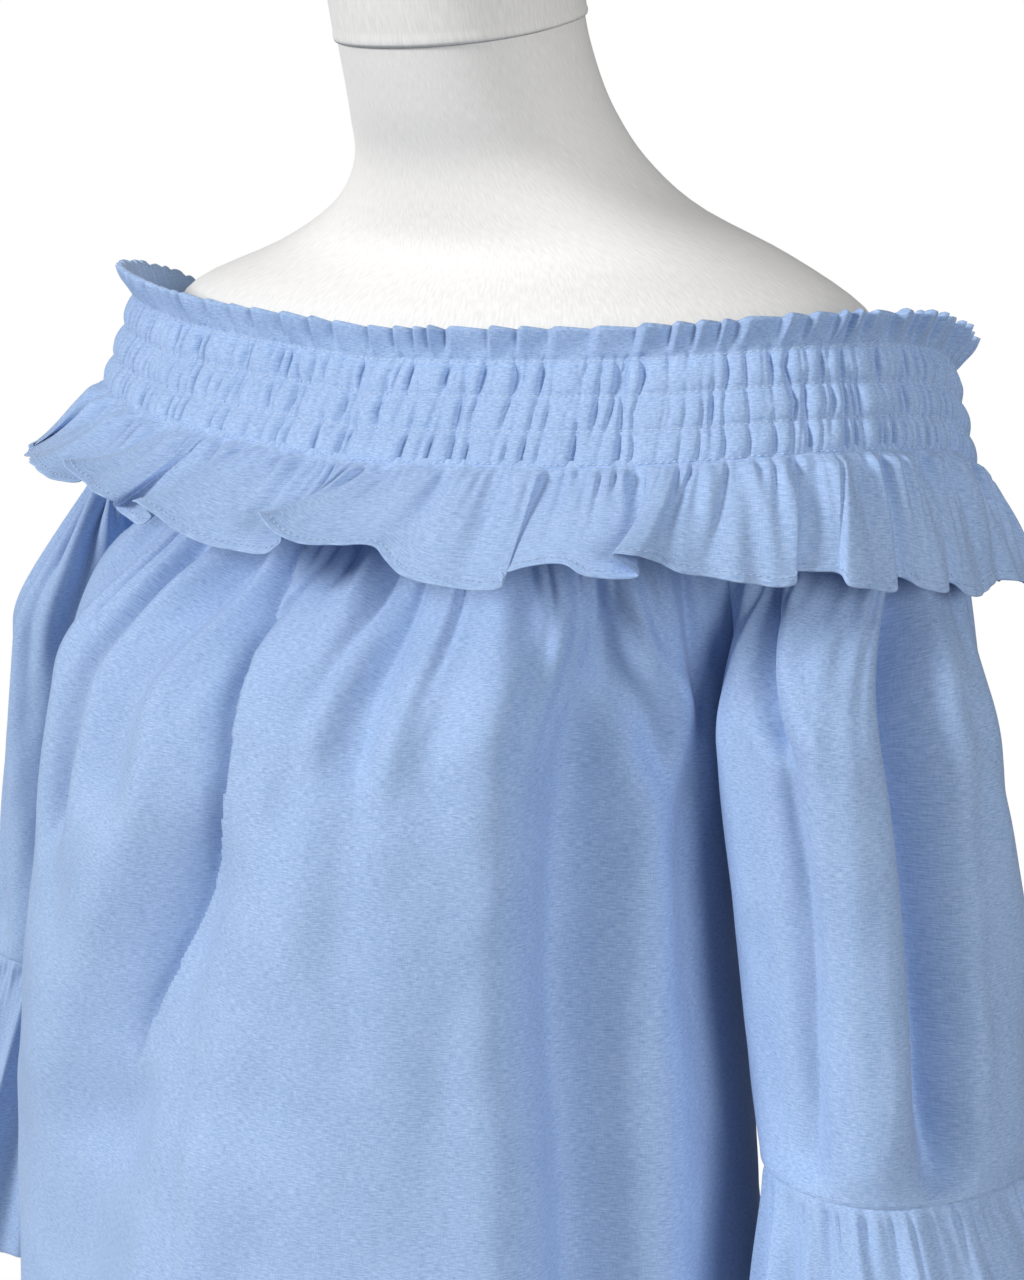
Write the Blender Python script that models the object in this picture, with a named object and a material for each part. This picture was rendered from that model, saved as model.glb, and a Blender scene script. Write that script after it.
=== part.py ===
"""An off-shoulder top on a limbless dress form.

Metres, +Z up. The front faces -Y and the wearer's left is +X. The origin is
the middle of the dress form's flat underside. A drop is a distance down from
the neckline's reference height, and an angle of 0 is +X, -90 degrees the front.
"""

from typing import NamedTuple

import bmesh
import bpy
import numpy as np

# Driving sizes
NECKLINE = 0.620
HEADING = 0.014
CASING = 0.0138
CASINGS = 3
BAND_DROP = HEADING + CASINGS * CASING
NECK_FLOUNCE = 0.050
FRONT_FLOUNCE_SHORTER = 0.008
UNDERARM = 0.175
SLEEVE_SEAM = 0.356
CUFF = 0.520
HEM = 0.520
NECK_CAP_SEAM = 0.118
NECK_CAP_SLOPE = 0.18
NECK_MIDDLE = -0.044
NECK_TOP = 0.152

# Cloth and seams
CLOTH = 0.0012
BAND_WALL = 0.0020
SEAM = 0.0003
UNDER_SEAM = 0.0007
CAP_OVERLAP = 0.0012

# Pleats and waves
BAND_PLEATS = 88
NECK_WAVES = 28
CUFF_WAVES = 18
HEADING_PLEAT = 0.0026
CASING_PLEAT = 0.0012
STITCHED_PLEAT = 0.0005
CASING_BULGE = 0.0016
HEADING_SCALLOP = 0.0012
NECK_WAVE = 0.0058
CUFF_WAVE = 0.0065
WAVE_OUTWARD = 0.35
# How far a wave opens its ridges and closes its valleys, as a share of its length
WAVE_LEAN = 0.09

# Where the raglan seams leave the band, as an angle from the wearer's side
RAGLAN = np.radians(45.0)
# A seam's gap as an angle seen from the middle of the garment
GARMENT_RADIUS = 0.150
SEAM_ANGLE = SEAM / GARMENT_RADIUS
# How a piece's edge is pulled to the underarm: the share of the piece that
# moves with it, how fast this ends below, and how far it stays clear
PANEL_REACH = 0.25
SLEEVE_REACH = 0.20
PULL_FADE = 0.030
PULL_CLEAR = 0.0008

# How finely each piece is divided
PANEL_COLUMNS = 31
PANEL_LOWER_ROWS = 8
SLEEVE_COLUMNS = 27
SLEEVE_LOWER_ROWS = 6
UPPER_ROW_COUNT = 6
WAVE_COLUMNS = 4
NECK_FLOUNCE_ROWS = 4
CUFF_ROWS = 5
FORM_COLUMNS = 32

# Folds: the widths they are measured on, the share of the width in which they
# fade at the seams, and the share of their length in which they begin and end
PANEL_FOLD_WIDTH = 0.42
SLEEVE_FOLD_WIDTH = 0.40
PANEL_EDGE_FADE = 0.10
SLEEVE_EDGE_FADE = 0.12
FOLD_END = 0.25
FOLD_END_START = 0.2
TOP_FADE = 0.040
CUFF_SEAM_FADE = 0.020

# How unevenly the pleats and waves are spaced and sized
PLEAT_UNEVEN = (0.25, 0.15)
OUTER_WAVES_LARGER = 0.30
WAVE_UNEVEN = 0.10
WAVE_GROWTH = 0.8

# The form's sections that the neck cap covers, and the cap's rounded top edge
SECTIONS_UNDER_CAP = 2
CAP_CORNER = 0.006
CAP_CORNER_TOP = 0.0015
CAP_CORNER_IN = 0.002
CAP_TOP_IN = 0.007

CHAMBRAY = (0.355, 0.475, 0.680)
JERSEY = (0.82, 0.81, 0.79)


class Section(NamedTuple):
    """A level oval: its drop, its half sizes and where its middle lies."""

    drop: float
    half_width: float
    front: float
    back: float
    across: float = 0.0
    along: float = 0.0


class Rise(NamedTuple):
    """How far the neckline stands over its reference height at an angle."""

    angle: float
    height: float


class Fold(NamedTuple):
    """A long soft trough (depth below 0) or ridge down a piece of cloth.

    Its path is a few places (share of the piece's width, drop). Its width is in
    metres. Its side towards higher shares is steeper by the amount sharp.
    """

    path: tuple
    width: float
    depth: float
    sharp: float = 0.0


NECKLINE_RISES = (
    Rise(-90, -0.008),
    Rise(-60, -0.002),
    Rise(-30, 0.0055),
    Rise(0, 0.0),
    Rise(20, -0.013),
    Rise(45, -0.020),
    Rise(90, -0.027),
)

BAND_SECTIONS = (
    Section(0.000, 0.2155, 0.103, 0.098),
    Section(HEADING, 0.210, 0.1015, 0.094),
    Section(HEADING + CASING, 0.213, 0.107, 0.094),
    Section(HEADING + 2 * CASING, 0.217, 0.115, 0.095),
    Section(BAND_DROP, 0.220, 0.123, 0.096),
)

FLOUNCE_SECTIONS = (
    Section(0.0, 0.220, 0.123, 0.096),
    Section(0.5, 0.230, 0.141, 0.105, across=-0.002),
    Section(1.0, 0.238, 0.155, 0.114, across=-0.006),
)

BODY_SECTIONS = (
    Section(BAND_DROP, 0.200, 0.124, 0.110, across=-0.010, along=-0.010),
    Section(0.115, 0.182, 0.134, 0.124, across=-0.026, along=-0.026),
    Section(UNDERARM, 0.166, 0.140, 0.130, across=-0.032, along=-0.036),
    Section(0.250, 0.166, 0.147, 0.130, across=-0.036, along=-0.040),
    Section(0.340, 0.178, 0.153, 0.134, across=-0.036, along=-0.040),
    Section(0.420, 0.184, 0.156, 0.138, across=-0.036, along=-0.040),
    Section(HEM, 0.192, 0.162, 0.150, across=-0.030, along=-0.038),
)

# A sleeve hangs as a tube whose sections lie out from the neckline's middle.
LEFT_SLEEVE_SECTIONS = (
    Section(BAND_DROP, 0.050, 0.084, 0.084, across=0.190, along=-0.030),
    Section(0.115, 0.050, 0.078, 0.078, across=0.193, along=-0.028),
    Section(UNDERARM, 0.052, 0.073, 0.073, across=0.198, along=-0.026),
    Section(0.280, 0.054, 0.074, 0.074, across=0.209, along=-0.016),
    Section(SLEEVE_SEAM, 0.056, 0.076, 0.076, across=0.219, along=-0.014),
)
RIGHT_SLEEVE_SECTIONS = (
    Section(BAND_DROP, 0.046, 0.084, 0.084, across=0.205, along=-0.030),
    Section(0.115, 0.045, 0.076, 0.076, across=0.222, along=-0.018),
    Section(UNDERARM, 0.044, 0.070, 0.070, across=0.241, along=-0.006),
    Section(0.280, 0.044, 0.070, 0.070, across=0.264, along=0.008),
    Section(SLEEVE_SEAM, 0.048, 0.074, 0.074, across=0.275, along=0.014),
)
LEFT_CUFF_SECTIONS = (
    Section(SLEEVE_SEAM, 0.056, 0.076, 0.076, across=0.219, along=-0.014),
    Section(0.400, 0.064, 0.086, 0.086, across=0.228, along=-0.008),
    Section(CUFF, 0.078, 0.100, 0.100, across=0.258, along=0.004),
)
RIGHT_CUFF_SECTIONS = (
    Section(SLEEVE_SEAM, 0.048, 0.074, 0.074, across=0.275, along=0.014),
    Section(0.400, 0.057, 0.084, 0.084, across=0.288, along=0.018),
    Section(CUFF, 0.070, 0.098, 0.098, across=0.312, along=0.026),
)

# Drops of the dress form's sections go up the neck as negative values.
FORM_SECTIONS = (
    Section(-NECK_TOP, 0.053, 0.054, 0.055, along=-0.053),
    Section(-0.110, 0.053, 0.054, 0.055, along=-0.042),
    Section(-0.080, 0.058, 0.056, 0.056, along=-0.028),
    Section(-0.060, 0.067, 0.058, 0.056, along=-0.015),
    Section(-0.040, 0.088, 0.064, 0.060, along=-0.004),
    Section(-0.020, 0.130, 0.072, 0.066, along=0.006),
    Section(0.000, 0.174, 0.080, 0.080, along=-0.006),
    Section(0.022, 0.185, 0.0910, 0.0955, along=-0.0095),
    Section(0.041, 0.185, 0.0985, 0.1030, along=-0.0095),
    Section(0.060, 0.180, 0.1020, 0.1020, along=-0.010),
    Section(0.090, 0.158, 0.104, 0.093, along=-0.012),
    Section(0.130, 0.126, 0.106, 0.082, along=-0.018),
    Section(0.180, 0.106, 0.110, 0.074, along=-0.024),
    Section(0.250, 0.098, 0.098, 0.070, along=-0.020),
    Section(0.330, 0.092, 0.084, 0.066, along=-0.012),
    Section(0.420, 0.102, 0.094, 0.070, along=-0.006),
    Section(0.500, 0.106, 0.098, 0.072),
    Section(0.600, 0.104, 0.096, 0.072),
    Section(NECKLINE, 0.098, 0.090, 0.066),
)

FRONT_FOLDS = (
    Fold(((0.44, 0.090), (0.51, 0.155), (0.505, 0.240), (0.46, 0.290)), 0.050, -0.0120, 0.65),
    Fold(((0.49, 0.230), (0.42, 0.325), (0.35, 0.400), (0.30, 0.560)), 0.075, -0.0130, 0.1),
    Fold(((0.78, 0.100), (0.825, 0.200), (0.82, 0.300), (0.83, 0.560)), 0.062, -0.0130, 0.4),
    Fold(((0.80, 0.090), (0.83, 0.135), (0.89, 0.185), (0.92, 0.230)), 0.036, -0.0060, 0.2),
    Fold(((0.60, 0.100), (0.62, 0.150), (0.64, 0.210)), 0.036, -0.0045, 0.1),
    Fold(((0.24, 0.100), (0.20, 0.170), (0.16, 0.280)), 0.040, -0.0035, 0.0),
    Fold(((0.36, 0.110), (0.33, 0.190), (0.28, 0.300)), 0.040, -0.0045, 0.0),
    Fold(((0.72, 0.260), (0.68, 0.380), (0.66, 0.560)), 0.080, -0.0050, 0.0),
    Fold(((0.92, 0.240), (0.93, 0.400), (0.94, 0.560)), 0.044, 0.0060, 0.0),
    Fold(((0.12, 0.300), (0.13, 0.420), (0.15, 0.560)), 0.060, 0.0050, 0.0),
)
BACK_FOLDS = (
    Fold(((0.24, 0.100), (0.20, 0.240), (0.18, 0.560)), 0.058, -0.0080, -0.3),
    Fold(((0.38, 0.100), (0.40, 0.260), (0.41, 0.560)), 0.060, 0.0070, 0.0),
    Fold(((0.52, 0.090), (0.55, 0.220), (0.57, 0.560)), 0.052, -0.0070, 0.4),
    Fold(((0.68, 0.110), (0.66, 0.240), (0.67, 0.420)), 0.046, 0.0050, 0.0),
    Fold(((0.30, 0.090), (0.31, 0.200)), 0.032, -0.0040, 0.0),
    Fold(((0.80, 0.340), (0.78, 0.560)), 0.070, -0.0060, 0.0),
)
LEFT_SLEEVE_FOLDS = (
    Fold(((0.39, 0.090), (0.415, 0.150), (0.405, 0.270), (0.385, 0.390)), 0.030, -0.0110, 0.2),
    Fold(((0.10, 0.100), (0.20, 0.145), (0.25, 0.220), (0.215, 0.390)), 0.040, -0.0070, 0.5),
    Fold(((0.46, 0.120), (0.50, 0.190), (0.54, 0.300)), 0.030, 0.0050, 0.0),
    Fold(((0.66, 0.100), (0.64, 0.220), (0.65, 0.390)), 0.036, -0.0080, 0.3),
    Fold(((0.80, 0.120), (0.79, 0.260)), 0.032, -0.0050, 0.0),
)
RIGHT_SLEEVE_FOLDS = (
    Fold(((0.30, 0.090), (0.34, 0.200), (0.33, 0.390)), 0.034, -0.0080, 0.3),
    Fold(((0.45, 0.100), (0.48, 0.180), (0.50, 0.290)), 0.030, 0.0040, 0.0),
    Fold(((0.64, 0.100), (0.62, 0.240), (0.63, 0.390)), 0.036, -0.0080, -0.3),
    Fold(((0.78, 0.120), (0.77, 0.280)), 0.032, -0.0050, 0.0),
)

# How square each ring is, from 2 for an ellipse: the front half, the back half
BAND_SQUARENESS = (2.3, 2.3)
BODY_SQUARENESS = (2.7, 1.8)
SLEEVE_SQUARENESS = (2.1, 2.1)
FORM_SQUARENESS = (2.2, 2.2)


def smooth_through(places, values, wanted):
    """Values at the wanted places, on a smooth curve through the given ones."""
    places = np.array(places, float)
    values = np.array(values, float)
    slopes = np.gradient(values, places)
    wanted = np.clip(wanted, places[0], places[-1])
    row = np.clip(np.searchsorted(places, wanted) - 1, 0, len(places) - 2)
    span = places[row + 1] - places[row]
    share = (wanted - places[row]) / span
    start = (1 + 2 * share) * (1 - share) ** 2 * values[row]
    start_slope = share * (1 - share) ** 2 * span * slopes[row]
    end = share**2 * (3 - 2 * share) * values[row + 1]
    end_slope = share**2 * (share - 1) * span * slopes[row + 1]
    return start + start_slope + end + end_slope


def ease(share):
    """0 to 1 with level ends."""
    share = np.clip(share, 0.0, 1.0)
    return share * share * (3 - 2 * share)


def oval(sections, angle, drop, squareness, grow=0.0):
    """Points (x, y) of the sections' ovals, each made larger by grow."""
    drops = [section.drop for section in sections]
    half_width, front, back, across, along = (
        smooth_through(drops, [getattr(section, name) for section in sections], drop)
        for name in ("half_width", "front", "back", "across", "along")
    )
    cosine, sine = np.cos(angle), np.sin(angle)
    depth = np.where(sine < 0, front, back) + grow
    power = np.where(sine < 0, *squareness)
    radius = (np.abs(cosine) ** power + np.abs(sine) ** power) ** (-1 / power)
    x = across + (half_width + grow) * cosine * radius
    y = along + depth * sine * radius
    return np.stack(np.broadcast_arrays(x, y), -1)


def neckline_rise(angle):
    """Height of the neckline over its reference, the same on both sides."""
    from_side = np.degrees(np.arctan2(np.sin(angle), np.abs(np.cos(angle))))
    angles = [rise.angle for rise in NECKLINE_RISES]
    return smooth_through(angles, [rise.height for rise in NECKLINE_RISES], from_side)


def points_at(xy, z):
    """Stacks x and y with a height of the same shape."""
    z = np.broadcast_to(z, xy.shape[:-1])
    return np.concatenate([xy, z[..., None]], -1)


def band_points(angle, drop, grow):
    """Points of the band's rings, from the heading's edge down."""
    xy = oval(BAND_SECTIONS, angle, drop, BAND_SQUARENESS, grow)
    return points_at(xy, NECKLINE + neckline_rise(angle) - drop)


def raglan_blend(drop):
    """0 at the band, where the cloth follows its ring, to 1 at the underarm."""
    return ease((drop - BAND_DROP) / (UNDERARM - BAND_DROP))


def underarm_point(wearer_side):
    """Where the body, the sleeve and both raglan seams meet, as (x, y)."""
    angle = 0.0 if wearer_side > 0 else np.pi
    on_body = oval(BODY_SECTIONS, angle, UNDERARM, BODY_SQUARENESS)
    sections = LEFT_SLEEVE_SECTIONS if wearer_side > 0 else RIGHT_SLEEVE_SECTIONS
    on_sleeve = oval(sections, np.pi, UNDERARM, SLEEVE_SQUARENESS)
    return (on_body + on_sleeve * (wearer_side, 1)) / 2


def pull_to_seam(xy, edge_xy, target, drop, reach, sideways):
    """Moves a piece's edge to its seam, less and less over the reach beside it.

    sideways is the direction along X in which the piece stays clear of the seam.
    """
    blend = raglan_blend(drop)
    below = np.exp(-np.clip(drop - UNDERARM, 0, None) / PULL_FADE)
    clear = PULL_CLEAR * (blend + blend**2)
    move = (target - edge_xy) * (blend * below)[..., None]
    move[..., 0] += sideways * clear * below
    return xy + move * reach[..., None]


def panel_middle(facing, share, drop):
    """Middle surface of the front (facing -1) or back (facing 1) panel.

    share runs from 0 at the wearer's right edge to 1 at the left edge.
    """
    half_turn = np.pi - 2 * SEAM_ANGLE
    quarter_turn = np.pi - 2 * RAGLAN - SEAM_ANGLE
    body_angle = facing * (np.pi / 2 + (0.5 - share) * half_turn)
    band_angle = facing * (np.pi / 2 + (0.5 - share) * quarter_turn)
    on_band = oval(BAND_SECTIONS, band_angle, BAND_DROP, BAND_SQUARENESS, CLOTH / 2)
    on_body = oval(BODY_SECTIONS, body_angle, drop, BODY_SQUARENESS)
    blend = raglan_blend(drop)[..., None]
    xy = (1 - blend) * on_band + blend * on_body
    for wearer_side, edge_share in ((1, 1.0), (-1, 0.0)):
        edge_angle = facing * (np.pi / 2 + (0.5 - edge_share) * np.pi)
        edge = oval(BODY_SECTIONS, edge_angle, drop, BODY_SQUARENESS)
        reach = ease(1 - np.abs(share - edge_share) / PANEL_REACH)
        target = underarm_point(wearer_side)
        xy = pull_to_seam(xy, edge, target, drop, reach, -wearer_side)
    rise = neckline_rise(band_angle) * (1 - raglan_blend(drop))
    return points_at(xy, NECKLINE + rise - drop)


def sleeve_middle(wearer_side, share, drop):
    """Middle surface of a sleeve, share 0 and 1 at its front and back seams.

    Above the underarm it is open between its raglan seams, and a tube below.
    """
    sections = LEFT_SLEEVE_SECTIONS if wearer_side > 0 else RIGHT_SLEEVE_SECTIONS
    band_angle = (2 * share - 1) * (RAGLAN - SEAM_ANGLE / 2)
    tube_angle = (2 * share - 1) * np.pi
    on_band = oval(BAND_SECTIONS, band_angle, BAND_DROP, BAND_SQUARENESS, CLOTH / 2)
    on_tube = oval(sections, tube_angle, drop, SLEEVE_SQUARENESS)
    blend = raglan_blend(drop)[..., None]
    xy = (1 - blend) * on_band + blend * on_tube
    edge = oval(sections, np.pi, drop, SLEEVE_SQUARENESS)
    target = underarm_point(wearer_side) * (wearer_side, 1)
    reach = ease(1 - np.minimum(share, 1 - share) / SLEEVE_REACH)
    xy = pull_to_seam(xy, edge, target, drop, reach, 1)
    rise = neckline_rise(band_angle) * (1 - raglan_blend(drop))
    return points_at(xy * (wearer_side, 1), NECKLINE + rise - drop)


def fold_heights(folds, share, drop, width, fade_share):
    """How far the folds lift the cloth, in metres, fading towards its seams."""
    height = np.zeros(np.broadcast(share, drop).shape)
    for fold in folds:
        shares, drops = zip(*fold.path)
        middle = np.interp(drop, drops, shares)
        along = (drop - drops[0]) / (drops[-1] - drops[0])
        off = (share - middle) * width / fold.width
        steep = 1 + fold.sharp * np.sign(off)
        begins = ease(along / FOLD_END + FOLD_END_START)
        ends = ease((1 - along) / FOLD_END + FOLD_END_START)
        height = height + fold.depth * np.exp(-((2 * off * steep) ** 2)) * begins * ends
    return height * ease(np.minimum(share, 1 - share) / fade_share)


def column_steps(grid, axis, closed):
    """Differences along one axis, which wraps where the piece is closed."""
    steps = np.gradient(grid, axis=axis, edge_order=2)
    if axis == 1:
        wrapped = grid[closed:, 1] - grid[closed:, -2]
        steps[closed:, 0] = steps[closed:, -1] = wrapped / 2
    return steps


def outward(grid, closed):
    """Unit normals of a grid of points, away from the middle of its rows."""
    across = column_steps(grid, 1, closed)
    down = column_steps(grid, 0, closed)
    normal = np.cross(across, down)
    normal /= np.linalg.norm(normal, axis=2, keepdims=True)
    from_middle = grid - grid.mean(axis=1, keepdims=True)
    return normal * np.sign((normal * from_middle).sum())


def wall_mesh(middle, thickness, closed, lift=None):
    """Points and faces of a cloth wall about a grid of rows and columns.

    Rows from the row closed on are rings, whose last column repeats the first.
    """
    if lift is not None:
        middle = middle + outward(middle, closed) * lift[..., None]
    normal = outward(middle, closed)
    outer = middle + normal * thickness / 2
    inner = middle - normal * thickness / 2
    rows, columns = middle.shape[:2]
    count = rows * columns

    def index(row, column):
        wraps = row >= closed and column == columns - 1
        return row * columns + (0 if wraps else column)

    faces = []
    for row in range(rows - 1):
        for column in range(columns - 1):
            quad = [
                index(row, column),
                index(row, column + 1),
                index(row + 1, column + 1),
                index(row + 1, column),
            ]
            faces.append(quad)
            faces.append([count + corner for corner in reversed(quad)])
    for row in (0, rows - 1):
        for column in range(columns - 1):
            here, there = index(row, column), index(row, column + 1)
            faces.append([here, there, count + there, count + here])
    for row in range(min(closed, rows - 1)):
        for column in (0, columns - 1):
            here, there = index(row, column), index(row + 1, column)
            faces.append([here, there, count + there, count + here])
    points = np.concatenate([outer.reshape(-1, 3), inner.reshape(-1, 3)])
    return points, faces


def ring_rows(rows, faces, first):
    """Adds quads between rings of equal length, whose points start at first."""
    columns = len(rows[0])
    for row in range(len(rows) - 1):
        for column in range(columns):
            beside = (column + 1) % columns
            start = first + row * columns
            below = start + columns
            faces.append([start + column, start + beside, below + beside, below + column])


def add_object(name, points, faces, material, collection):
    """A mesh object of these points and faces, with its faces turned out."""
    mesh = bpy.data.meshes.new(name)
    mesh.from_pydata([tuple(point) for point in points], [], faces)
    shape = bmesh.new()
    shape.from_mesh(mesh)
    loose = [vertex for vertex in shape.verts if not vertex.link_faces]
    bmesh.ops.delete(shape, geom=loose, context="VERTS")
    bmesh.ops.recalc_face_normals(shape, faces=shape.faces)
    shape.to_mesh(mesh)
    shape.free()
    mesh.shade_smooth()
    mesh.materials.append(material)
    piece = bpy.data.objects.new(name, mesh)
    collection.objects.link(piece)
    return piece


def matt(name, colour, roughness):
    """A Principled material of one colour."""
    material = bpy.data.materials.new(name)
    material.use_nodes = True
    shader = material.node_tree.nodes["Principled BSDF"]
    shader.inputs["Base Color"].default_value = (*colour, 1.0)
    shader.inputs["Roughness"].default_value = roughness
    return material


def neck_band(collection):
    """The heading and the three elastic casings, pleated over a plain inside."""
    columns = 2 * BAND_PLEATS
    step = np.arange(columns)
    uneven = PLEAT_UNEVEN[0] * np.sin(5.0 * step) + PLEAT_UNEVEN[1] * np.sin(2.3 * step)
    angle = 2 * np.pi * (step + uneven) / columns
    is_ridge = step % 2 == 0
    rows = []
    for number in range(2 * CASINGS + 2):
        on_stitches = number % 2 == 1
        drop = 0.0 if number == 0 else HEADING + (number - 1) * CASING / 2
        bulge = 0.0 if on_stitches or number == 0 else CASING_BULGE
        pleat = STITCHED_PLEAT if on_stitches else CASING_PLEAT
        if number == 0:
            pleat = HEADING_PLEAT
        grow = BAND_WALL + bulge + np.where(is_ridge, pleat, 0.0)
        ring = band_points(angle, np.full(columns, drop), grow)
        if number == 0:
            ring[:, 2] += HEADING_SCALLOP * np.sin(3.1 * step)
        rows.append(ring)
    faces = []
    ring_rows(rows, faces, 0)
    outer_count = len(rows) * columns
    inner_angle = angle[::2]
    inner_rows = [
        band_points(inner_angle, np.full(BAND_PLEATS, drop), 0.0)
        for drop in (0.0, HEADING, BAND_DROP)
    ]
    ring_rows(inner_rows, faces, outer_count)
    last_outer = (len(rows) - 1) * columns
    last_inner = outer_count + (len(inner_rows) - 1) * BAND_PLEATS
    for outer_start, inner_start in ((0, outer_count), (last_outer, last_inner)):
        for pleat in range(BAND_PLEATS):
            beside = (pleat + 1) % BAND_PLEATS
            ridge = outer_start + 2 * pleat
            next_ridge = outer_start + 2 * beside
            faces.append([inner_start + pleat, ridge, ridge + 1])
            faces.append([inner_start + pleat, ridge + 1, inner_start + beside])
            faces.append([inner_start + beside, ridge + 1, next_ridge])
    points = np.concatenate(rows + inner_rows)
    material = matt("chambray_band", CHAMBRAY, 0.85)
    return add_object("neck_band", points, faces, material, collection)


def wave_grid(count, rows):
    """Shares round a ring of waves, and shares down it."""
    around = np.linspace(0.0, 1.0, WAVE_COLUMNS * count + 1)
    down = np.linspace(0.0, 1.0, rows)
    return around[None, :], down[:, None]


def leaning(around, count, down):
    """Shares round a ring with each wave's ridge widened towards the edge."""
    return around - WAVE_LEAN / count * np.cos(2 * np.pi * count * around) * down


def wave_lift(around, count, down, depth):
    """Height of the waves of a flounce, from none at its seam, and uneven."""
    size = 1 - OUTER_WAVES_LARGER * np.cos(2 * np.pi * around)
    size = size + WAVE_UNEVEN * np.sin(10 * np.pi * around)
    wave = np.sin(2 * np.pi * count * around) + WAVE_OUTWARD
    return depth * size * wave * down**WAVE_GROWTH


def neck_flounce(collection):
    """The gathered flounce that hangs from the band's lowest stitches."""
    around, down = wave_grid(NECK_WAVES, NECK_FLOUNCE_ROWS)
    angle = 2 * np.pi * leaning(around, NECK_WAVES, down)
    beyond = CLOTH + SEAM + CLOTH / 2
    xy = oval(FLOUNCE_SECTIONS, angle, down, BAND_SQUARENESS, beyond)
    length = NECK_FLOUNCE - FRONT_FLOUNCE_SHORTER * np.clip(-np.sin(angle), 0, None)
    top = NECKLINE + neckline_rise(angle) - BAND_DROP - UNDER_SEAM
    middle = points_at(xy, top - length * down)
    lift = wave_lift(around, NECK_WAVES, down, NECK_WAVE)
    points, faces = wall_mesh(middle, CLOTH, 0, lift)
    material = matt("chambray_neck_flounce", CHAMBRAY, 0.85)
    return add_object("neck_flounce", points, faces, material, collection)


# Panels and sleeves share these rows, so that their raglan seams run alike.
UPPER_ROWS = np.linspace(BAND_DROP + UNDER_SEAM, UNDERARM, UPPER_ROW_COUNT)


def panel(name, facing, folds, collection):
    """The front or the back of the body, from the band to the hem."""
    share = np.linspace(0.0, 1.0, PANEL_COLUMNS)[None, :]
    lower = np.linspace(UNDERARM, HEM, PANEL_LOWER_ROWS + 1)[1:]
    drop = np.concatenate([UPPER_ROWS, lower])[:, None]
    middle = panel_middle(facing, share, drop)
    lift = fold_heights(folds, share, drop, PANEL_FOLD_WIDTH, PANEL_EDGE_FADE)
    lift = lift * ease((drop - BAND_DROP) / TOP_FADE)
    points, faces = wall_mesh(middle, CLOTH, len(drop), lift)
    material = matt("chambray_" + name, CHAMBRAY, 0.85)
    return add_object(name, points, faces, material, collection)


def sleeve(name, wearer_side, folds, collection):
    """A raglan sleeve, from the band to its flounce's seam."""
    share = np.linspace(0.0, 1.0, SLEEVE_COLUMNS)[None, :]
    lower = np.linspace(UNDERARM, SLEEVE_SEAM, SLEEVE_LOWER_ROWS + 1)[1:]
    drop = np.concatenate([UPPER_ROWS, lower])[:, None]
    middle = sleeve_middle(wearer_side, share, drop)
    lift = fold_heights(folds, share, drop, SLEEVE_FOLD_WIDTH, SLEEVE_EDGE_FADE)
    lift = lift * ease((drop - BAND_DROP) / TOP_FADE)
    lift = lift * ease((SLEEVE_SEAM - drop) / CUFF_SEAM_FADE + FOLD_END_START)
    points, faces = wall_mesh(middle, CLOTH, UPPER_ROW_COUNT - 1, lift)
    material = matt("chambray_" + name, CHAMBRAY, 0.85)
    return add_object(name, points, faces, material, collection)


def sleeve_flounce(name, wearer_side, collection):
    """The gathered lower part of a sleeve, down to its open cuff."""
    sections = LEFT_CUFF_SECTIONS if wearer_side > 0 else RIGHT_CUFF_SECTIONS
    around, down = wave_grid(CUFF_WAVES, CUFF_ROWS)
    angle = (2 * leaning(around, CUFF_WAVES, down) - 1) * np.pi
    drop = SLEEVE_SEAM + UNDER_SEAM + (CUFF - SLEEVE_SEAM - UNDER_SEAM) * down
    xy = oval(sections, angle, drop, SLEEVE_SQUARENESS) * (wearer_side, 1)
    middle = points_at(xy, NECKLINE - drop)
    lift = wave_lift(around, CUFF_WAVES, down, CUFF_WAVE)
    points, faces = wall_mesh(middle, CLOTH, 0, lift)
    material = matt("chambray_" + name, CHAMBRAY, 0.85)
    return add_object(name, points, faces, material, collection)


def loft(name, rings, material, collection):
    """A closed body through level rings, with a flat face at each end."""
    faces = []
    ring_rows(rings, faces, 0)
    columns = len(rings[0])
    faces.append(list(range(columns)))
    last = (len(rings) - 1) * columns
    faces.append([last + column for column in range(columns)])
    return add_object(name, np.concatenate(rings), faces, material, collection)


def form_ring(angle, drop, grow=0.0):
    """A ring of the dress form. A drop may differ from point to point."""
    drop = np.broadcast_to(drop, angle.shape)
    xy = oval(FORM_SECTIONS, angle, drop, FORM_SQUARENESS, grow)
    return points_at(xy, NECKLINE - drop)


def neck_seam_ring(angle, raised, grow=0.0):
    """The ring where a sloping plane, lower at the front, cuts the neck."""
    drop = np.full(len(angle), -NECK_CAP_SEAM)
    for _ in range(8):
        ring = form_ring(angle, drop, grow)
        drop = -(NECK_CAP_SEAM + raised + NECK_CAP_SLOPE * (ring[:, 1] - NECK_MIDDLE))
    return form_ring(angle, drop, grow)


def dress_form(collection):
    """The covered torso up to its neck seam, and the cap over the neck's top."""
    angle = np.linspace(0.0, 2 * np.pi, FORM_COLUMNS, endpoint=False)
    levels = [section.drop for section in FORM_SECTIONS[SECTIONS_UNDER_CAP:]]
    rings = [neck_seam_ring(angle, 0.0)]
    rings += [form_ring(angle, level) for level in levels]
    loft("form_torso", rings, matt("jersey", JERSEY, 0.9), collection)
    edge = neck_seam_ring(angle, SEAM, CAP_OVERLAP)
    side = form_ring(angle, CAP_CORNER - NECK_TOP, CAP_OVERLAP)
    rounded = form_ring(angle, CAP_CORNER_TOP - NECK_TOP, CAP_OVERLAP - CAP_CORNER_IN)
    top = form_ring(angle, -NECK_TOP, CAP_OVERLAP - CAP_TOP_IN)
    rings = [edge, side, rounded, top]
    loft("neck_cap", rings, matt("jersey_cap", JERSEY, 0.9), collection)


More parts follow.
